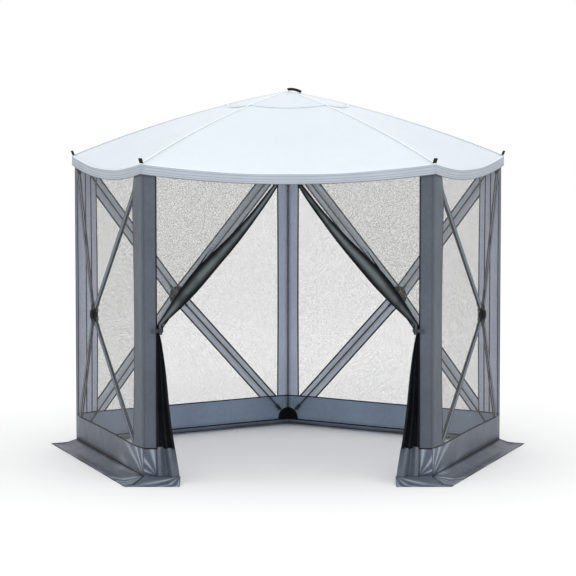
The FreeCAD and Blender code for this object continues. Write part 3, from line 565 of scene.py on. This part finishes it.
# the second colour is the highlight painted along the roll's outward ridges
ROLL = rolled_cloth("rolled_curtain_cloth", (0.006, 0.007, 0.009), (0.14, 0.16, 0.17), ROLL_PITCH)
BINDING = webbing("binding_tape", (0.005, 0.006, 0.009))
# the seam tape is lighter than the roof cloth: partly its own paler tone, partly painted light that cancels
# the shade of its raised edges
SEAM = cloth("roof_seam_tape", (0.92, 0.96, 0.98), pitch=0.0016, wrinkle=0.2, variation=0.03)
WEBBING = webbing("black_webbing", (0.006, 0.006, 0.008))
TIE_TAPE = webbing("tie_tape", (0.045, 0.055, 0.072))
TOGGLE = hard("toggle_plastic", (0.016, 0.018, 0.022), rough=0.5)
PATCH_CLOTH = cloth("patch_cloth", (0.004, 0.0045, 0.006), rough=0.6, pitch=0.0016, wrinkle=0.3, gloss=0.1)
SCREEN = screen("screen_mesh", grain=0.30)
DOOR_SCREEN = screen("door_screen_mesh", grain=0.8)
PLASTIC = hard("hub_plastic", (0.010, 0.010, 0.012), rough=0.45)
FIBRE = hard("pole_fibre", (0.012, 0.012, 0.015), rough=0.3, grain=700.0, wear=0.12, coat=0.2,
             along=(1, 1, 0.1))
STEEL = hard("pin_steel", (0.55, 0.55, 0.57), rough=0.3, metal=1.0, wear=0.15)
ZIP = hard("zip_plastic", (0.012, 0.012, 0.014), rough=0.5)


# ---- fabric walls -------------------------------------------------------------------------------
def hub_rise(z):
    """0 at the wall hubs' height and 1 at the walls' foot and at their head."""
    return np.where(z > HUB_Z, (z - HUB_Z) / (TOP - HUB_Z), (HUB_Z - z) / (HUB_Z - BOTTOM))


def wall_y(x, z):
    """The fabric's middle plane: four faces from the popped-out hub, each drawn in between its ridges."""
    across, rise = np.abs(x) / HALF, hub_rise(z)
    m = np.clip(np.maximum(across, rise), 1e-6, 1)
    t = np.minimum(across, rise) / m
    drawn_in = DRAWN_IN * (1 - t**2) * 4 * m * (1 - m) * (1 - 0.25 * t)
    return CLOTH_Y + HUB_OUT * (1 - m) - drawn_in


def on_wall(x, z):
    return np.stack([x, wall_y(x, z), z], axis=-1).reshape(-1, 3)


def eave(share):
    return TOP - EAVE_SAG * (1 - share * share)


def follow_hub(obj):
    """Bakes the piece's transform into its points; it does not move with the wall's hub."""
    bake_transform(obj)


def line_with(obj, lining, direction):
    """Gives the lining's material to the faces that look away from direction."""
    obj.data.materials.append(lining)
    for face in obj.data.polygons:
        face.material_index = int(face.normal.dot(Vector(direction)) < -0.2)


def wall_piece(name, wall, data, material, node=None, inside=None):
    """A piece of wall cloth. inside is the cloth's other face, which looks into the house."""
    obj = new_object(name, *placed(wall, data), material)
    if inside:
        line_with(obj, inside, outward(WALLS[wall]))
    follow_hub(obj)
    if node:
        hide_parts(node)
    return obj


def wall_edges(wall):
    """Where the wall's mesh meets the strips, along the wall's own X."""
    low, high = STRIPS[wall]
    return -HALF + low, HALF - high


def wall_grid(wall):
    """The whole wall as a grid whose lines pass through the hub's four ridges."""
    shares = set(np.linspace(0, 1, 27))
    for strip in STRIPS[wall]:
        shares |= {1 - strip / HALF, 1 - (strip - TUCK) / HALF}
    shares |= {(HUB_Z - FOOT_TOP) / (HUB_Z - BOTTOM), (HUB_Z - FOOT_TOP + TUCK) / (HUB_Z - BOTTOM)}
    u = np.array(sorted(shares))
    u = np.concatenate([-u[::-1], u[1:]])
    count = len(u)
    middle = count // 2
    x = np.broadcast_to(u * HALF, (count, count))
    v = u[:, None]
    drop = (EAVE_SAG * (1 - u * u) + HEAD_GAP)[None] * np.clip(v, 0, 1) ** 10
    z = HUB_Z + np.where(v > 0, (TOP - HUB_Z) * v, (HUB_Z - BOTTOM) * v) - drop
    points = on_wall(x, np.broadcast_to(z, x.shape))

    def split(i, j):
        """Diagonal cells are cut along their ridge."""
        a, b = i - middle, j - middle
        if a == b:
            return 1
        return -1 if a == -b - 1 else 0

    return points, facing(points, grid_faces(count, count, split=split), OUT), points[:, [0, 2]]


def keep(data, test):
    """The faces of a sheet whose middles pass the test, in x and z, and the points that they use."""
    points, faces, uv = data
    centres = np.array([points[list(f)].mean(0) for f in faces])
    faces = [f for f, chosen in zip(faces, test(centres[:, 0], centres[:, 2])) if chosen]
    used = sorted({i for f in faces for i in f})
    place = {k: i for i, k in enumerate(used)}
    return points[used], [tuple(place[i] for i in f) for f in faces], uv[used]


def wall_cloth(wall):
    """The mesh, the strips down its two edges and the foot band, all cut from one grid."""
    low, high = STRIPS[wall]
    low_x, high_x = wall_edges(wall)
    tucked = FOOT_TOP - TUCK
    grid = wall_grid(wall)

    data = keep(grid, lambda x, z: (x > low_x - TUCK) & (x < high_x + TUCK) & (z > tucked))
    mesh = wall_piece(f"screen_{wall}", wall, data, SCREEN, f"wall_mesh_{wall}")

    for label, width, test in (
        ("low", low, lambda x, z: (x < low_x) & (z > tucked)),
        ("high", high, lambda x, z: (x > high_x) & (z > tucked)),
    ):
        data, area = doubled(keep(grid, test), "strip")
        strip = wall_piece(f"strip_{wall}_{label}", wall, data, SLATE, "corner_strips",
                           STRIP_LINING_LIT)

    data, area = doubled(keep(grid, lambda x, z: z < FOOT_TOP), "foot")
    foot = wall_piece(f"foot_band_{wall}", wall, data, FOOT.get(wall, FOOT["rear"]),
                      "wall_foot_bands", FOOT_LINING)


def arm_end(wall, corner, offset):
    """A line beside the pole to a corner: its direction, its shift and how far it runs before it goes under
    the strip, the foot band or the eave."""
    low_x, high_x = wall_edges(wall)
    run = np.array([corner[0], corner[1] - HUB_Z])
    length = np.linalg.norm(run)
    run = run / length
    shift = np.array([run[1], -run[0]]) * offset
    for r in np.linspace(0.05, length, 900):
        x, z = run * r + shift + (0, HUB_Z)
        if x < low_x or x > high_x or z < FOOT_TOP or z > eave(x / HALF) - 0.035:
            return run, shift, r
    return run, shift, length


def wall_bands(wall, width, tape):
    """The diagonal band behind the poles, and the tapes that bind its arms' edges."""
    across = np.array([-1, -0.5, 0, 0.5, 1])
    arms, tapes = [], []
    for corner in ((-HALF, BOTTOM), (HALF, BOTTOM), (HALF, TOP), (-HALF, TOP)):
        run, _, reach = arm_end(wall, corner, 0.0)
        reach = min(reach + 0.05, math.hypot(corner[0], corner[1] - HUB_Z) - 0.03)
        # the arm starts as a point at the hub and has its full width from here on
        full = width / 2 / 0.9
        r = np.concatenate([np.linspace(0.0, full, 6)[:-1], np.linspace(full, reach, 40)])[:, None]
        half = np.minimum(width / 2, r * 0.93)
        x = np.clip(run[0] * r + run[1] * half * across, -HALF + 0.004, HALF - 0.004)
        z = HUB_Z + run[1] * r - run[0] * half * across
        uv = np.stack(np.broadcast_arrays(r, half * across), axis=2).reshape(-1, 2)
        arms.append(thick(woven(on_wall(x, z), len(r), len(across), uv), "band"))
        for offset in (-width / 2, width / 2):
            _, shift, end = arm_end(wall, corner, offset)
            start = width / 2 * 1.05
            if end > start + 0.05:
                line = line_between(run * start + shift, run * end + shift)
                path = on_wall(line[:, 0], line[:, 1] + HUB_Z)
                tapes.append(swept(path, tape_profile(tape, 0.0038), (run[1], 0, -run[0])))
    data = join_data(arms)
    band = wall_piece(f"bands_{wall}", wall, data, BAND, "diagonal_bands", BAND_LINING_LIT)
    return tapes


def wall_binding(wall, tape, tapes):
    """Every tape of a wall as one piece: those of its band, down the strips and along the foot band."""
    edges = list(wall_edges(wall))
    if wall.startswith("rear"):
        outer = 1 if wall == "rear_right" else -1
        edges += [outer * (HALF - seam) for seam in OUTER_SEAMS]
    for edge in edges:
        z = np.linspace(FOOT_TOP, eave(edge / HALF) - 0.02, 60)
        tapes.append(swept(on_wall(np.full_like(z, edge), z), tape_profile(tape, 0.0042), (1, 0, 0)))
    for height in (FOOT_TOP, BOTTOM + 0.004):
        x = np.linspace(-HALF + 0.002, HALF - 0.002, 61)
        tapes.append(swept(on_wall(x, np.full_like(x, height)), tape_profile(0.0085, 0.0046), UP))
    wall_piece(f"binding_{wall}", wall, join_data(tapes), BINDING)


def wall_patches(wall):
    """The round patch at the hub, and the quarter-round patches inside the corners."""
    rings = np.linspace(0.012, HUB_PATCH_R, 9)[:, None]
    around = np.linspace(0, 2 * math.pi, 48, endpoint=False)
    points = on_wall(rings * np.cos(around), HUB_Z + rings * np.sin(around))
    data = thick(woven(points, len(rings), len(around), closed=True), "hub_patch")
    wall_piece(f"hub_patch_{wall}", wall, data, PATCH_CLOTH)

    head = TOP - HEAD_GAP
    rings = np.linspace(0.0, PATCH_R, 8)[:, None]
    around = np.linspace(0, math.pi / 2, 20)
    parts = []
    for cx, cz, sx, sz in (
        (-HALF, BOTTOM, 1, 1), (HALF, BOTTOM, -1, 1), (HALF, head, -1, -1), (-HALF, head, 1, -1),
    ):
        x = cx + sx * (rings * np.cos(around) * 0.995 + 0.001)
        z = cz + sz * rings * np.sin(around)
        if sz < 0:
            z = np.minimum(z, eave(x / HALF) - HEAD_GAP)
        parts.append(thick(woven(on_wall(x, z), len(rings), len(around)), "corner_patch"))
    wall_piece(f"patches_{wall}", wall, join_data(parts), PATCH_CLOTH, "corner_patches")


for wall_name in HUB_WALLS:
    band_width, tape_width = (REAR_BAND, 0.0095) if wall_name.startswith("rear") else (SIDE_BAND, 0.0055)
    wall_cloth(wall_name)
    wall_binding(wall_name, tape_width, wall_bands(wall_name, band_width, tape_width))
    wall_patches(wall_name)


# ---- fixed fabric -------------------------------------------------------------------------------
def fixed(name, data, material, node=None):
    """A piece that stays with the shelter."""
    obj = new_object(name, *data, material)
    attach(obj, "shelter")
    if node:
        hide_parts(node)
    return obj


def corner_piping():
    """A cord of folded tape down each corner seam: slate at the front corners and black at the others."""
    front, others = [], []
    for name, degrees in CORNERS.items():
        out = outward(degrees)
        foot = out * (RADIUS + 0.0005) + np.array([0, Y_SHIFT, BOTTOM])
        line = line_between(foot, foot + np.array([0, 0, TOP - BOTTOM - 0.02]), 0.05)
        cord = swept(line, round_profile(PIPING_R, 10), np.cross(UP, out))
        (front if name.startswith("front") else others).append(cord)
    fixed("corner_piping_front", join_data(front), SLATE)
    fixed("corner_piping", join_data(others), BINDING)


def door_strip(label, side):
    """The corner strip's part on the door wall, with the foot band carried on over it."""
    rows, columns = 40, 7
    x = np.linspace(DOOR_EDGE, HALF, columns) * side
    z = BOTTOM + (eave(x / HALF)[None] - HEAD_GAP - BOTTOM) * np.linspace(0, 1, rows)[:, None]
    x = np.broadcast_to(x, z.shape)
    y = CLOTH_Y + 0.0012 * np.sin(9 * z) * np.sin((HALF - np.abs(x)) / DOOR_STRIP * math.pi)
    points = np.stack([x, y, z], axis=2).reshape(-1, 3)
    data, area = doubled(woven(points, rows, columns), "strip")
    strip = fixed(f"door_strip_{label}", placed("front", data), SLATE, "corner_strips")

    rows = 8
    x = np.linspace(DOOR_EDGE, HALF + 0.001, columns) * side
    z = np.linspace(BOTTOM, FOOT_TOP, rows)[:, None]
    points = np.stack(np.broadcast_arrays(x[None], FLAT + 0.0042, z), axis=2).reshape(-1, 3)
    data, area = doubled(woven(points, rows, columns), "overlay")
    foot = fixed(f"door_strip_foot_{label}", placed("front", data), FOOT[f"door_{label}"])

    inner, outer = DOOR_EDGE * side, HALF * side
    tapes = [
        swept(line_between(start, end), tape_profile(0.007, 0.0042), across)
        for start, end, across in (
            ((inner, FLAT + 0.002, BOTTOM), (inner, FLAT + 0.002, TOP - 0.03), (1, 0, 0)),
            ((inner, FLAT + 0.0045, FOOT_TOP), (outer, FLAT + 0.0045, FOOT_TOP), UP),
        )
    ]
    fixed(f"door_strip_binding_{label}", placed("front", join_data(tapes)), BINDING)


def skirt_data(x_from, x_to, seed):
    """The sloping skirt and its hem along part of a wall, mitred with its neighbours where an end is None."""
    start, columns = 0.0032, 61
    rows = [start, 0.02, 0.04, 0.06, SKIRT_KNEE, 0.1, 0.115, 0.13, SKIRT_OUT]
    phase = np.random.default_rng(seed).random(6) * 6.28
    grid, flat = [], []
    for y in rows:
        mitre = HALF + y * math.tan(TURN)
        x = np.linspace(-mitre if x_from is None else x_from, mitre if x_to is None else x_to, columns)
        slope = np.clip(1 - (y - start) / (SKIRT_KNEE - start), 0, 1)
        z = 0.0022 + (BOTTOM - 0.0026) * slope
        lift = (np.sin(x * 9 + phase[0]) + np.sin(x * 17 + phase[1]) * 0.6 + np.sin(x * 31 + phase[2]) * 0.3)
        amount = 0.0022 * math.sin(min(1.0, y / SKIRT_OUT) * math.pi * 0.85)
        z = np.maximum(z + lift * amount, 0.0016)
        edge = y + (0.0012 * np.sin(x * 23 + phase[3]) if 0.12 < y < SKIRT_OUT else 0.0)
        grid.append(np.stack([x, np.full(columns, FLAT) + edge, z], axis=1))
        flat.append(np.stack([x, np.full(columns, y)], axis=1))
    return woven(np.concatenate(grid), len(rows), columns, np.concatenate(flat), UP)


def skirt_piece(name, wall, data, material, node, lining=None):
    data, area = doubled(data, "skirt", UP)
    skirt = fixed(name, placed(wall, data), material, node)
    if lining:
        line_with(skirt, lining, UP)


def ground_skirt():
    """A skirt along each wall but the door's, and the binding of its mitres and its hem."""
    reach = SKIRT_OUT * math.tan(TURN)
    for k, wall in enumerate(HUB_WALLS):
        # the rear skirts' undersides get the lighter foot lining cloth: painted light in the shade under them
        lining = FOOT_LINING if wall.startswith("rear") else None
        skirt_piece(f"skirt_{wall}", wall, skirt_data(None, None, k), SKIRT.get(wall, SKIRT["rear"]),
                    "ground_skirt", lining)
    parts = []
    for degrees in CORNERS.values():
        out = outward(degrees)
        steps = [(0.004, BOTTOM - 0.0002), (SKIRT_KNEE, 0.0032), (SKIRT_OUT - 0.001, 0.0026)]
        line = np.array([out * (RADIUS + y / math.cos(TURN)) + [0, Y_SHIFT, z] for y, z in steps])
        line = np.concatenate([line_between(line[0], line[1])[:-1], line_between(line[1], line[2])])
        parts.append(swept(line, tape_profile(0.007, 0.0014), np.cross(UP, out)))
    for wall in HUB_WALLS:
        edge, y = HALF + reach - 0.003, FLAT + SKIRT_OUT - 0.004
        line = line_between((-edge, y, 0.0024), (edge, y, 0.0024), 0.06)
        parts.append(placed(wall, swept(line, tape_profile(0.007, 0.0016), OUT)))
    fixed("skirt_binding", join_data(parts), BINDING)


corner_piping()
door_strip("left", 1)
door_strip("right", -1)
ground_skirt()


# ---- roof ---------------------------------------------------------------------------------------
def roof_z(share, across):
    """The roof's height at a share of the way from peak to eave, across a panel from -1 to 1."""
    ridge = TOP + (APEX - TOP) * (1 - share) + 4 * RIDGE_ARCH * share * (1 - share)
    return ridge - EAVE_SAG * share**2 * (1 - across**2)


def roof_sheet(shares, lift, bow=0.0):
    """A continuous ring of roof cloth: rows go round the house at each share of the way from peak to eave."""
    across = np.linspace(1, -1, ROOF_COLUMNS + 1)[:-1]
    rows, flat = [], []
    for share in shares:
        for wall, degrees in WALLS.items():
            place = share * (1 + bow * (share / CAP_SHARE) ** 2 * (1 - across**2))
            x = across * place * EAVE_HALF
            y = place * EAVE_FLAT
            puff = 0.0018 * math.sin(share * 40) * np.cos(across * 9) * share
            z = roof_z(place, across) + lift + puff * (1 - across**2)
            rows.append(to_world(wall, np.stack([x, y, z], axis=1)))
            flat.append(np.stack([x + degrees, y], axis=1))
    columns = ROOF_COLUMNS * SIDES
    return woven(np.concatenate(rows), len(shares), columns, np.concatenate(flat), UP, closed=True)


def roof_piece(name, data, material, node=None):
    """A piece of roof cloth, with its transform baked into its points."""
    obj = new_object(name, *data, material)
    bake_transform(obj)
    if node:
        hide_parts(node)
    return obj


def away_from_middle(points):
    """The level direction from the middle of the house to each point."""
    out = points - CENTRE
    out[:, 2] = 0
    return out / np.linalg.norm(out, axis=1)[:, None]


def build_roof():
    """The roof, the gussets laid on its peak, and the tapes over its seams and round its edges."""
    for name, shares, lift, bow, node, share, rests_on in (
        ("roof", np.linspace(0.10, 1.0, 34), 0.0, 0.0, "roof_canopy", 1.0, ["hub_roof", "valance"]),
        ("roof_gussets", np.linspace(0.012, CAP_SHARE, 10), 0.0028, CAP_BOW, "roof_cap", CAP_SHARE,
         ["roof_canopy"]),
    ):
        data, area = doubled(roof_sheet(shares, lift, bow), "roof", UP)
        piece = roof_piece(name, data, ROOF, node)

    seams = []
    for degrees in CORNERS.values():
        out = outward(degrees)
        share = np.linspace(0.03, 0.998, 60)
        z = roof_z(share, 1.0) + np.where(share < CAP_SHARE + 0.01, 0.0032, 0.0006)
        line = out * (share * EAVE_RADIUS)[:, None] + CENTRE + np.array(UP) * z[:, None]
        seams.append(swept(line, tape_profile(0.014, 0.0016), np.cross(UP, out)))
    for share, lift, width, bow in ((CAP_SHARE, 0.0026, 0.009, CAP_BOW), (0.997, 0.0008, 0.008, 0.0)):
        ring = roof_sheet([share, share + 0.001], lift, bow)[0][: ROOF_COLUMNS * SIDES]
        ring = np.concatenate([ring, ring[:1]])
        seams.append(swept(ring, tape_profile(width, 0.0022), away_from_middle(ring)))
    roof_piece("roof_seams", join_data(seams), SEAM)


def build_valance():
    """One length of cloth round the eave, with a turned hem and three rows of stitching."""
    # depth below the roof's edge and how far out the cloth stands there
    rows = [(-0.002, 0.0), (0.004, 0.0012), (0.010, 0.0), (0.018, 0.0004), (0.026, 0.0), (0.034, 0.0003),
            (0.042, 0.0), (0.045, 0.0014), (0.052, 0.0016), (VALANCE, 0.0008)]
    columns = 36
    across = np.linspace(1, -1, columns + 1)[:-1]
    grid, flat = [], []
    for depth, out in rows:
        for wall, degrees in WALLS.items():
            ripple = 0.0011 * np.sin(across * 15 + degrees) * depth / VALANCE * (1 - across**4)
            y = EAVE_FLAT - 0.001 + out + ripple
            x = across * y * math.tan(TURN)
            z = eave(across) - 0.0035 - depth
            grid.append(to_world(wall, np.stack([x, y, z], axis=1)))
            flat.append(np.stack([x + degrees, np.full_like(x, depth)], axis=1))
    points = np.concatenate(grid)
    faces = grid_faces(len(rows), columns * SIDES, closed=True)
    out = away_from_middle(points)
    a, b, c, _ = faces[0]
    if np.cross(points[b] - points[a], points[c] - points[a]) @ out[a] < 0:
        faces = [tuple(reversed(f)) for f in faces]
    data, area = doubled((points, faces, np.concatenate(flat)), "valance", out)
    valance = fixed("valance_ring", data, VALANCE_CLOTH, "valance")


build_roof()
build_valance()


# ---- door curtains ------------------------------------------------------------------------------
# Each curtain is laid out in the door wall's frame, as the left one: side is 1 there and -1 at the right.
ROLL_HEAD = np.array(ROLL_TOP)
TIE = np.array([DOOR_EDGE - 0.022, TIE_Z + 0.022])
ROLL_RUN = (TIE - ROLL_HEAD) / np.linalg.norm(TIE - ROLL_HEAD)


def curtain_screen(label, side):
    """The taut upper mesh between the door's edge, the eave and the roll."""
    rows, columns = 46, 20
    outer_top = TOP - HEAD_GAP - 0.01
    inner_top = eave(ROLL_HEAD[0] / HALF) - HEAD_GAP
    # the share of the rows whose inner end is above the roll
    above = 0.08
    t = np.linspace(0, 1, columns)
    grid = []
    for s in np.linspace(0, 1, rows) ** 0.9:
        outer = np.array([DOOR_EDGE + 0.008, outer_top + (TIE_Z + 0.02 - outer_top) * s])
        if s < above:
            inner = np.array([ROLL_HEAD[0] - 0.01, inner_top + (ROLL_HEAD[1] - inner_top) * s / above])
        else:
            inner = ROLL_HEAD + (TIE - ROLL_HEAD) * (s - above) / (1 - above)
        q = outer + (inner - outer) * t[:, None]
        q[:, 1] = np.minimum(q[:, 1], eave(q[:, 0] / HALF) - HEAD_GAP)
        angle = np.arctan2(q[:, 1] - TIE[1] + 0.02, TIE[0] - q[:, 0] + 0.02)
        far = np.hypot(q[:, 0] - TIE[0], q[:, 1] - TIE[1])
        wrinkle = 0.004 * np.sin(angle * 21) * np.clip(far / 0.25, 0, 1) * np.clip(1 - far / 1.3, 0, 1)
        y = CLOTH_Y + wrinkle * np.sin(math.pi * t) ** 0.7
        grid.append(np.stack([q[:, 0] * side, y, q[:, 1]], axis=1))
    points = np.concatenate(grid)
    data = woven(points, rows, columns)
    mesh = fixed(f"door_screen_{label}", placed("front", data), DOOR_SCREEN,
                 f"door_curtain_{label}")


def along_roll(s, values, reach):
    """The roll's values at its places, evened out over reach steps to both sides."""
    window = 2 * reach + 1
    values = np.pad(np.interp(s, ROLL_PLACES, values), reach, mode="edge")
    return np.convolve(values, np.ones(window) / window, mode="valid")


def curtain_roll(label, side):
    """Cloth wound on itself, pointed at the top and full above the tie. Returns the roll's length."""
    s = np.linspace(0, 1, 80)
    radii, bow = along_roll(s, ROLL_RADII, 4), along_roll(s, ROLL_BOW, 6)
    centre = ROLL_HEAD + (TIE - ROLL_HEAD) * s[:, None] + np.array([ROLL_RUN[1], -ROLL_RUN[0]]) * bow[:, None]
    y = FLAT + 0.008 - 0.014 * np.clip(1 - s / 0.1, 0, 1)
    line = np.stack([centre[:, 0] * side, y, centre[:, 1]], axis=1)
    length = float(np.linalg.norm(line[-1] - line[0]))
    # its lower end is gathered through the strap
    neck = ((0.0, 0.008), (-0.006, -0.016), (-0.008, -0.040))
    line = np.concatenate([line, [(TIE[0] * side, FLAT + y, TIE_Z + z) for y, z in neck]])
    radii = np.append(radii, (0.015, 0.013, 0.011))[:, None]
    s = np.append(s, (1.02, 1.04, 1.06))[:, None]

    around = np.linspace(0, ROLL_TURNS * 2 * math.pi, 90)
    share = 0.42 + 0.58 * np.clip(around / around[-1] * 2.2, 0, 1)
    angle = around * side + s * 1.5 * side + (1.1 if side > 0 else math.pi - 1.1)
    lobes = 1 + 0.05 * np.sin(around * 2.0 + 1.0) + 0.03 * np.sin(s * 9) * np.sin(around * 3)
    radius = radii * share * lobes
    profile = np.stack([np.cos(angle) * radius * 0.84, np.sin(angle) * radius], axis=2)
    points, faces, uv = swept(line, profile, OUT, closed=False)
    uv[:, 1] = (angle * ROLL_PITCH / (2 * math.pi)).ravel()
    data = placed("front", (points, faces, uv))
    roll = fixed(f"door_roll_{label}", data, ROLL, f"door_curtain_{label}")
    return length


def curtain_loose_edge(label, side, roll_length):
    """A loose edge of the curtain that stands off the roll."""
    start, end, steps = 0.50, 0.74, 18
    s = np.linspace(start, end, steps)
    off = np.interp(s, (start, 0.56, end), (0.052, 0.050, 0.030))
    wide = LOOSE_EDGE * np.sin(np.linspace(0.02, 1, steps) * math.pi / 2) ** 0.8
    away = np.array([-ROLL_RUN[1], ROLL_RUN[0]])
    middle = ROLL_HEAD + (TIE - ROLL_HEAD) * s[:, None] + away * off[:, None]
    q = np.concatenate([middle + away * wide[:, None] * k for k in (-0.5, 0.5)])
    points = np.stack([q[:, 0] * side, np.full(2 * steps, FLAT + 0.012), q[:, 1]], axis=1)
    data, area = doubled(woven(points, 2, steps), "overlay")
    edge = fixed(f"door_roll_edge_{label}", placed("front", data), DARK)


def curtain_drape(label, side):
    """Below the tie the same cloth hangs in pleats down to the floor, and ends in a solid foot."""
    columns = 71
    t = np.linspace(0, 1, columns)
    for part, material, slot, z_from, z_to, rows, pleats, lift in (
        ("drape", DARK, "dark_curtain", TIE_Z + 0.02, 0.205, 60, 2.2, 0.0),
        ("foot", DOOR_FOOT_LIT, "foot_band_fabric", 0.212, BOTTOM - 0.006, 16, 1.6, 0.0012),
    ):
        z = np.linspace(z_from, z_to, rows)[:, None]
        width = np.interp(-z, -np.array(DRAPE_HEIGHTS), DRAPE_WIDTHS)
        depth = 0.008 + 0.012 * np.clip((TIE_Z - z) / 0.5, 0, 1)
        phase = 0.35 * np.sin(z * 3.0)
        fold = np.sin((t**1.3 * pleats + phase * t + 0.1) * 2 * math.pi)
        y = FLAT - 0.008 + depth * (fold - 0.3 * np.sin(t**0.8 * pleats * 3 * math.pi + 1 + 2 * phase))
        y = np.clip(y, FLAT - 0.034, FLAT + 0.0125) + lift
        x = (DOOR_EDGE + 0.004 - width * t - 0.004 * t * np.cos(z * 9)) * side
        wavy = z + 0.004 * np.sin(t * 7) * (part == "foot")
        points = np.stack([x, y, np.maximum(wavy, 0.0335)], axis=2).reshape(-1, 3)
        uv = np.stack(np.broadcast_arrays(t * 0.55, z), axis=2).reshape(-1, 2)
        data, area = doubled(woven(points, rows, columns, uv), "drape")
        drape = fixed(f"door_{part}_{label}", placed("front", data), material, f"door_curtain_{label}")


def curtain_skirt(label, side):
    """The skirt left beside the doorway."""
    inner = (HALF - DOOR_SKIRT) * side
    data = skirt_data(*((inner, None) if side > 0 else (None, inner)), seed=7 + side)
    skirt_piece(f"door_skirt_{label}", "front", data, SKIRT[f"door_{label}"], f"door_curtain_{label}")


for curtain, curtain_side in (("left", 1), ("right", -1)):
    curtain_screen(curtain, curtain_side)
    curtain_loose_edge(curtain, curtain_side, curtain_roll(curtain, curtain_side))
    curtain_drape(curtain, curtain_side)
    curtain_skirt(curtain, curtain_side)


# ---- roof handle --------------------------------------------------------------------------------
def roof_handle():
    """The roof hub's strap, sewn into a round handle that lies off to one side of the peak."""
    start, end = HANDLE_ENDS
    x = np.linspace(start, end, 24)
    roof = roof_z(np.abs(x) / EAVE_RADIUS, 1.0)
    height = 0.0105 + 0.0085 * np.sin(np.clip((x - start) / (end - start), 0, 1) * math.pi) ** 0.7
    line = np.stack([x, np.full_like(x, Y_SHIFT), roof + height], axis=1)
    handle = new_object("roof_hub_handle", *swept(line, round_profile(HANDLE_R, 14, 0.9), OUT), WEBBING)
    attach(handle, "hub_roof")
    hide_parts("hub_roof_strap")


roof_handle()


# ---- carried-over CAD parts ---------------------------------------------------------------------
def finish_of(node):
    for finish, starts, ends in (
        (STEEL, "", "_pins"),
        (TIE_TAPE, "tie_strap", ""),
        (TOGGLE, "tie_toggle", ""),
        (WEBBING, "", "_strap"),
        (WEBBING, "roof_corner_loops", ""),
        (FIBRE, "pole_", ""),
        (ZIP, "door_zip", ""),
    ):
        if node.startswith(starts) and node.endswith(ends):
            return finish
    return PLASTIC


for node_name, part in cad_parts.items():
    for material_slot in part.material_slots:
        material_slot.material = finish_of(node_name)
    if not part.material_slots:
        part.data.materials.append(finish_of(node_name))


# ---- room, lights and camera --------------------------------------------------------------------
# the camera's place in wall widths, in front of the middle of the house and above the walls' foot
EYE_BACK, EYE_UP = 9.66, 1.3716
EYE_TILT = 0.0795
FLOOR_SIZE = 60.0


def stage():
    """A floor that is white near the house and lost in the white room far from it."""
    n = Nodes("floor_paint")
    place = n.place()
    base = n.mix(n.noise(place, 1.4, 4.0), (0.95, 0.95, 0.95, 1), (0.97, 0.97, 0.97, 1))
    x, y, _ = n.add("SeparateXYZ", Vector=place).outputs
    far = n.math("SQRT", n.plus(n.math("POWER", x, 2.0), n.math("POWER", y, 2.0)))
    base = n.mix(n.ramp(far, 2.5, 9.0), base, (1.0, 1.0, 1.0, 1))
    n.set(Base_Color=base, Roughness=0.8, Normal=n.bump(n.noise(place, 60.0, 3.0), 0.05, 0.002))
    mesh = bpy.data.meshes.new("floor")
    corners = [(x * FLOOR_SIZE, y * FLOOR_SIZE, 0) for x, y in ((-1, -1), (1, -1), (1, 1), (-1, 1))]
    mesh.from_pydata(corners, [], [(0, 1, 2, 3)])
    mesh.materials.append(n.material)
    floor = bpy.data.objects.new("floor", mesh)
    bpy.context.scene.collection.objects.link(floor)


def area_light(name, place, target, size, power):
    lamp = bpy.data.lights.new(name, "AREA")
    lamp.shape = "DISK"
    lamp.size = size
    lamp.energy = power
    obj = bpy.data.objects.new(name, lamp)
    obj.location = place
    obj.rotation_euler = (Vector(target) - Vector(place)).to_track_quat("-Z", "Y").to_euler()
    bpy.context.scene.collection.objects.link(obj)


stage()
world = bpy.data.worlds.new("studio")
bpy.context.scene.world = world
world.use_nodes = True
world.node_tree.nodes["Background"].inputs["Color"].default_value = (1.0, 1.0, 1.0, 1)
world.node_tree.nodes["Background"].inputs["Strength"].default_value = 1.0
bpy.context.scene.view_settings.view_transform = "Standard"
area_light("key", (-1.5, -9.5, 6.5), (0, 0, 1.2), 5.0, 150)
area_light("fill", (3.0, -8.0, 4.0), (0, 0, 1.0), 6.0, 70)
area_light("back", (0.0, 7.0, 6.0), (0, 0, 1.4), 5.0, 40)

camera = bpy.data.cameras.new("camera")
camera.lens = 162.8
camera.sensor_width = 36.0
camera.clip_end = 300.0
eye = bpy.data.objects.new("camera", camera)
eye.location = (0.0, Y_SHIFT - EYE_BACK * SIDE, BOTTOM + EYE_UP * SIDE)
eye.rotation_euler = (math.pi / 2 - EYE_TILT, 0.0, 0.0)
bpy.context.scene.collection.objects.link(eye)
bpy.context.scene.camera = eye
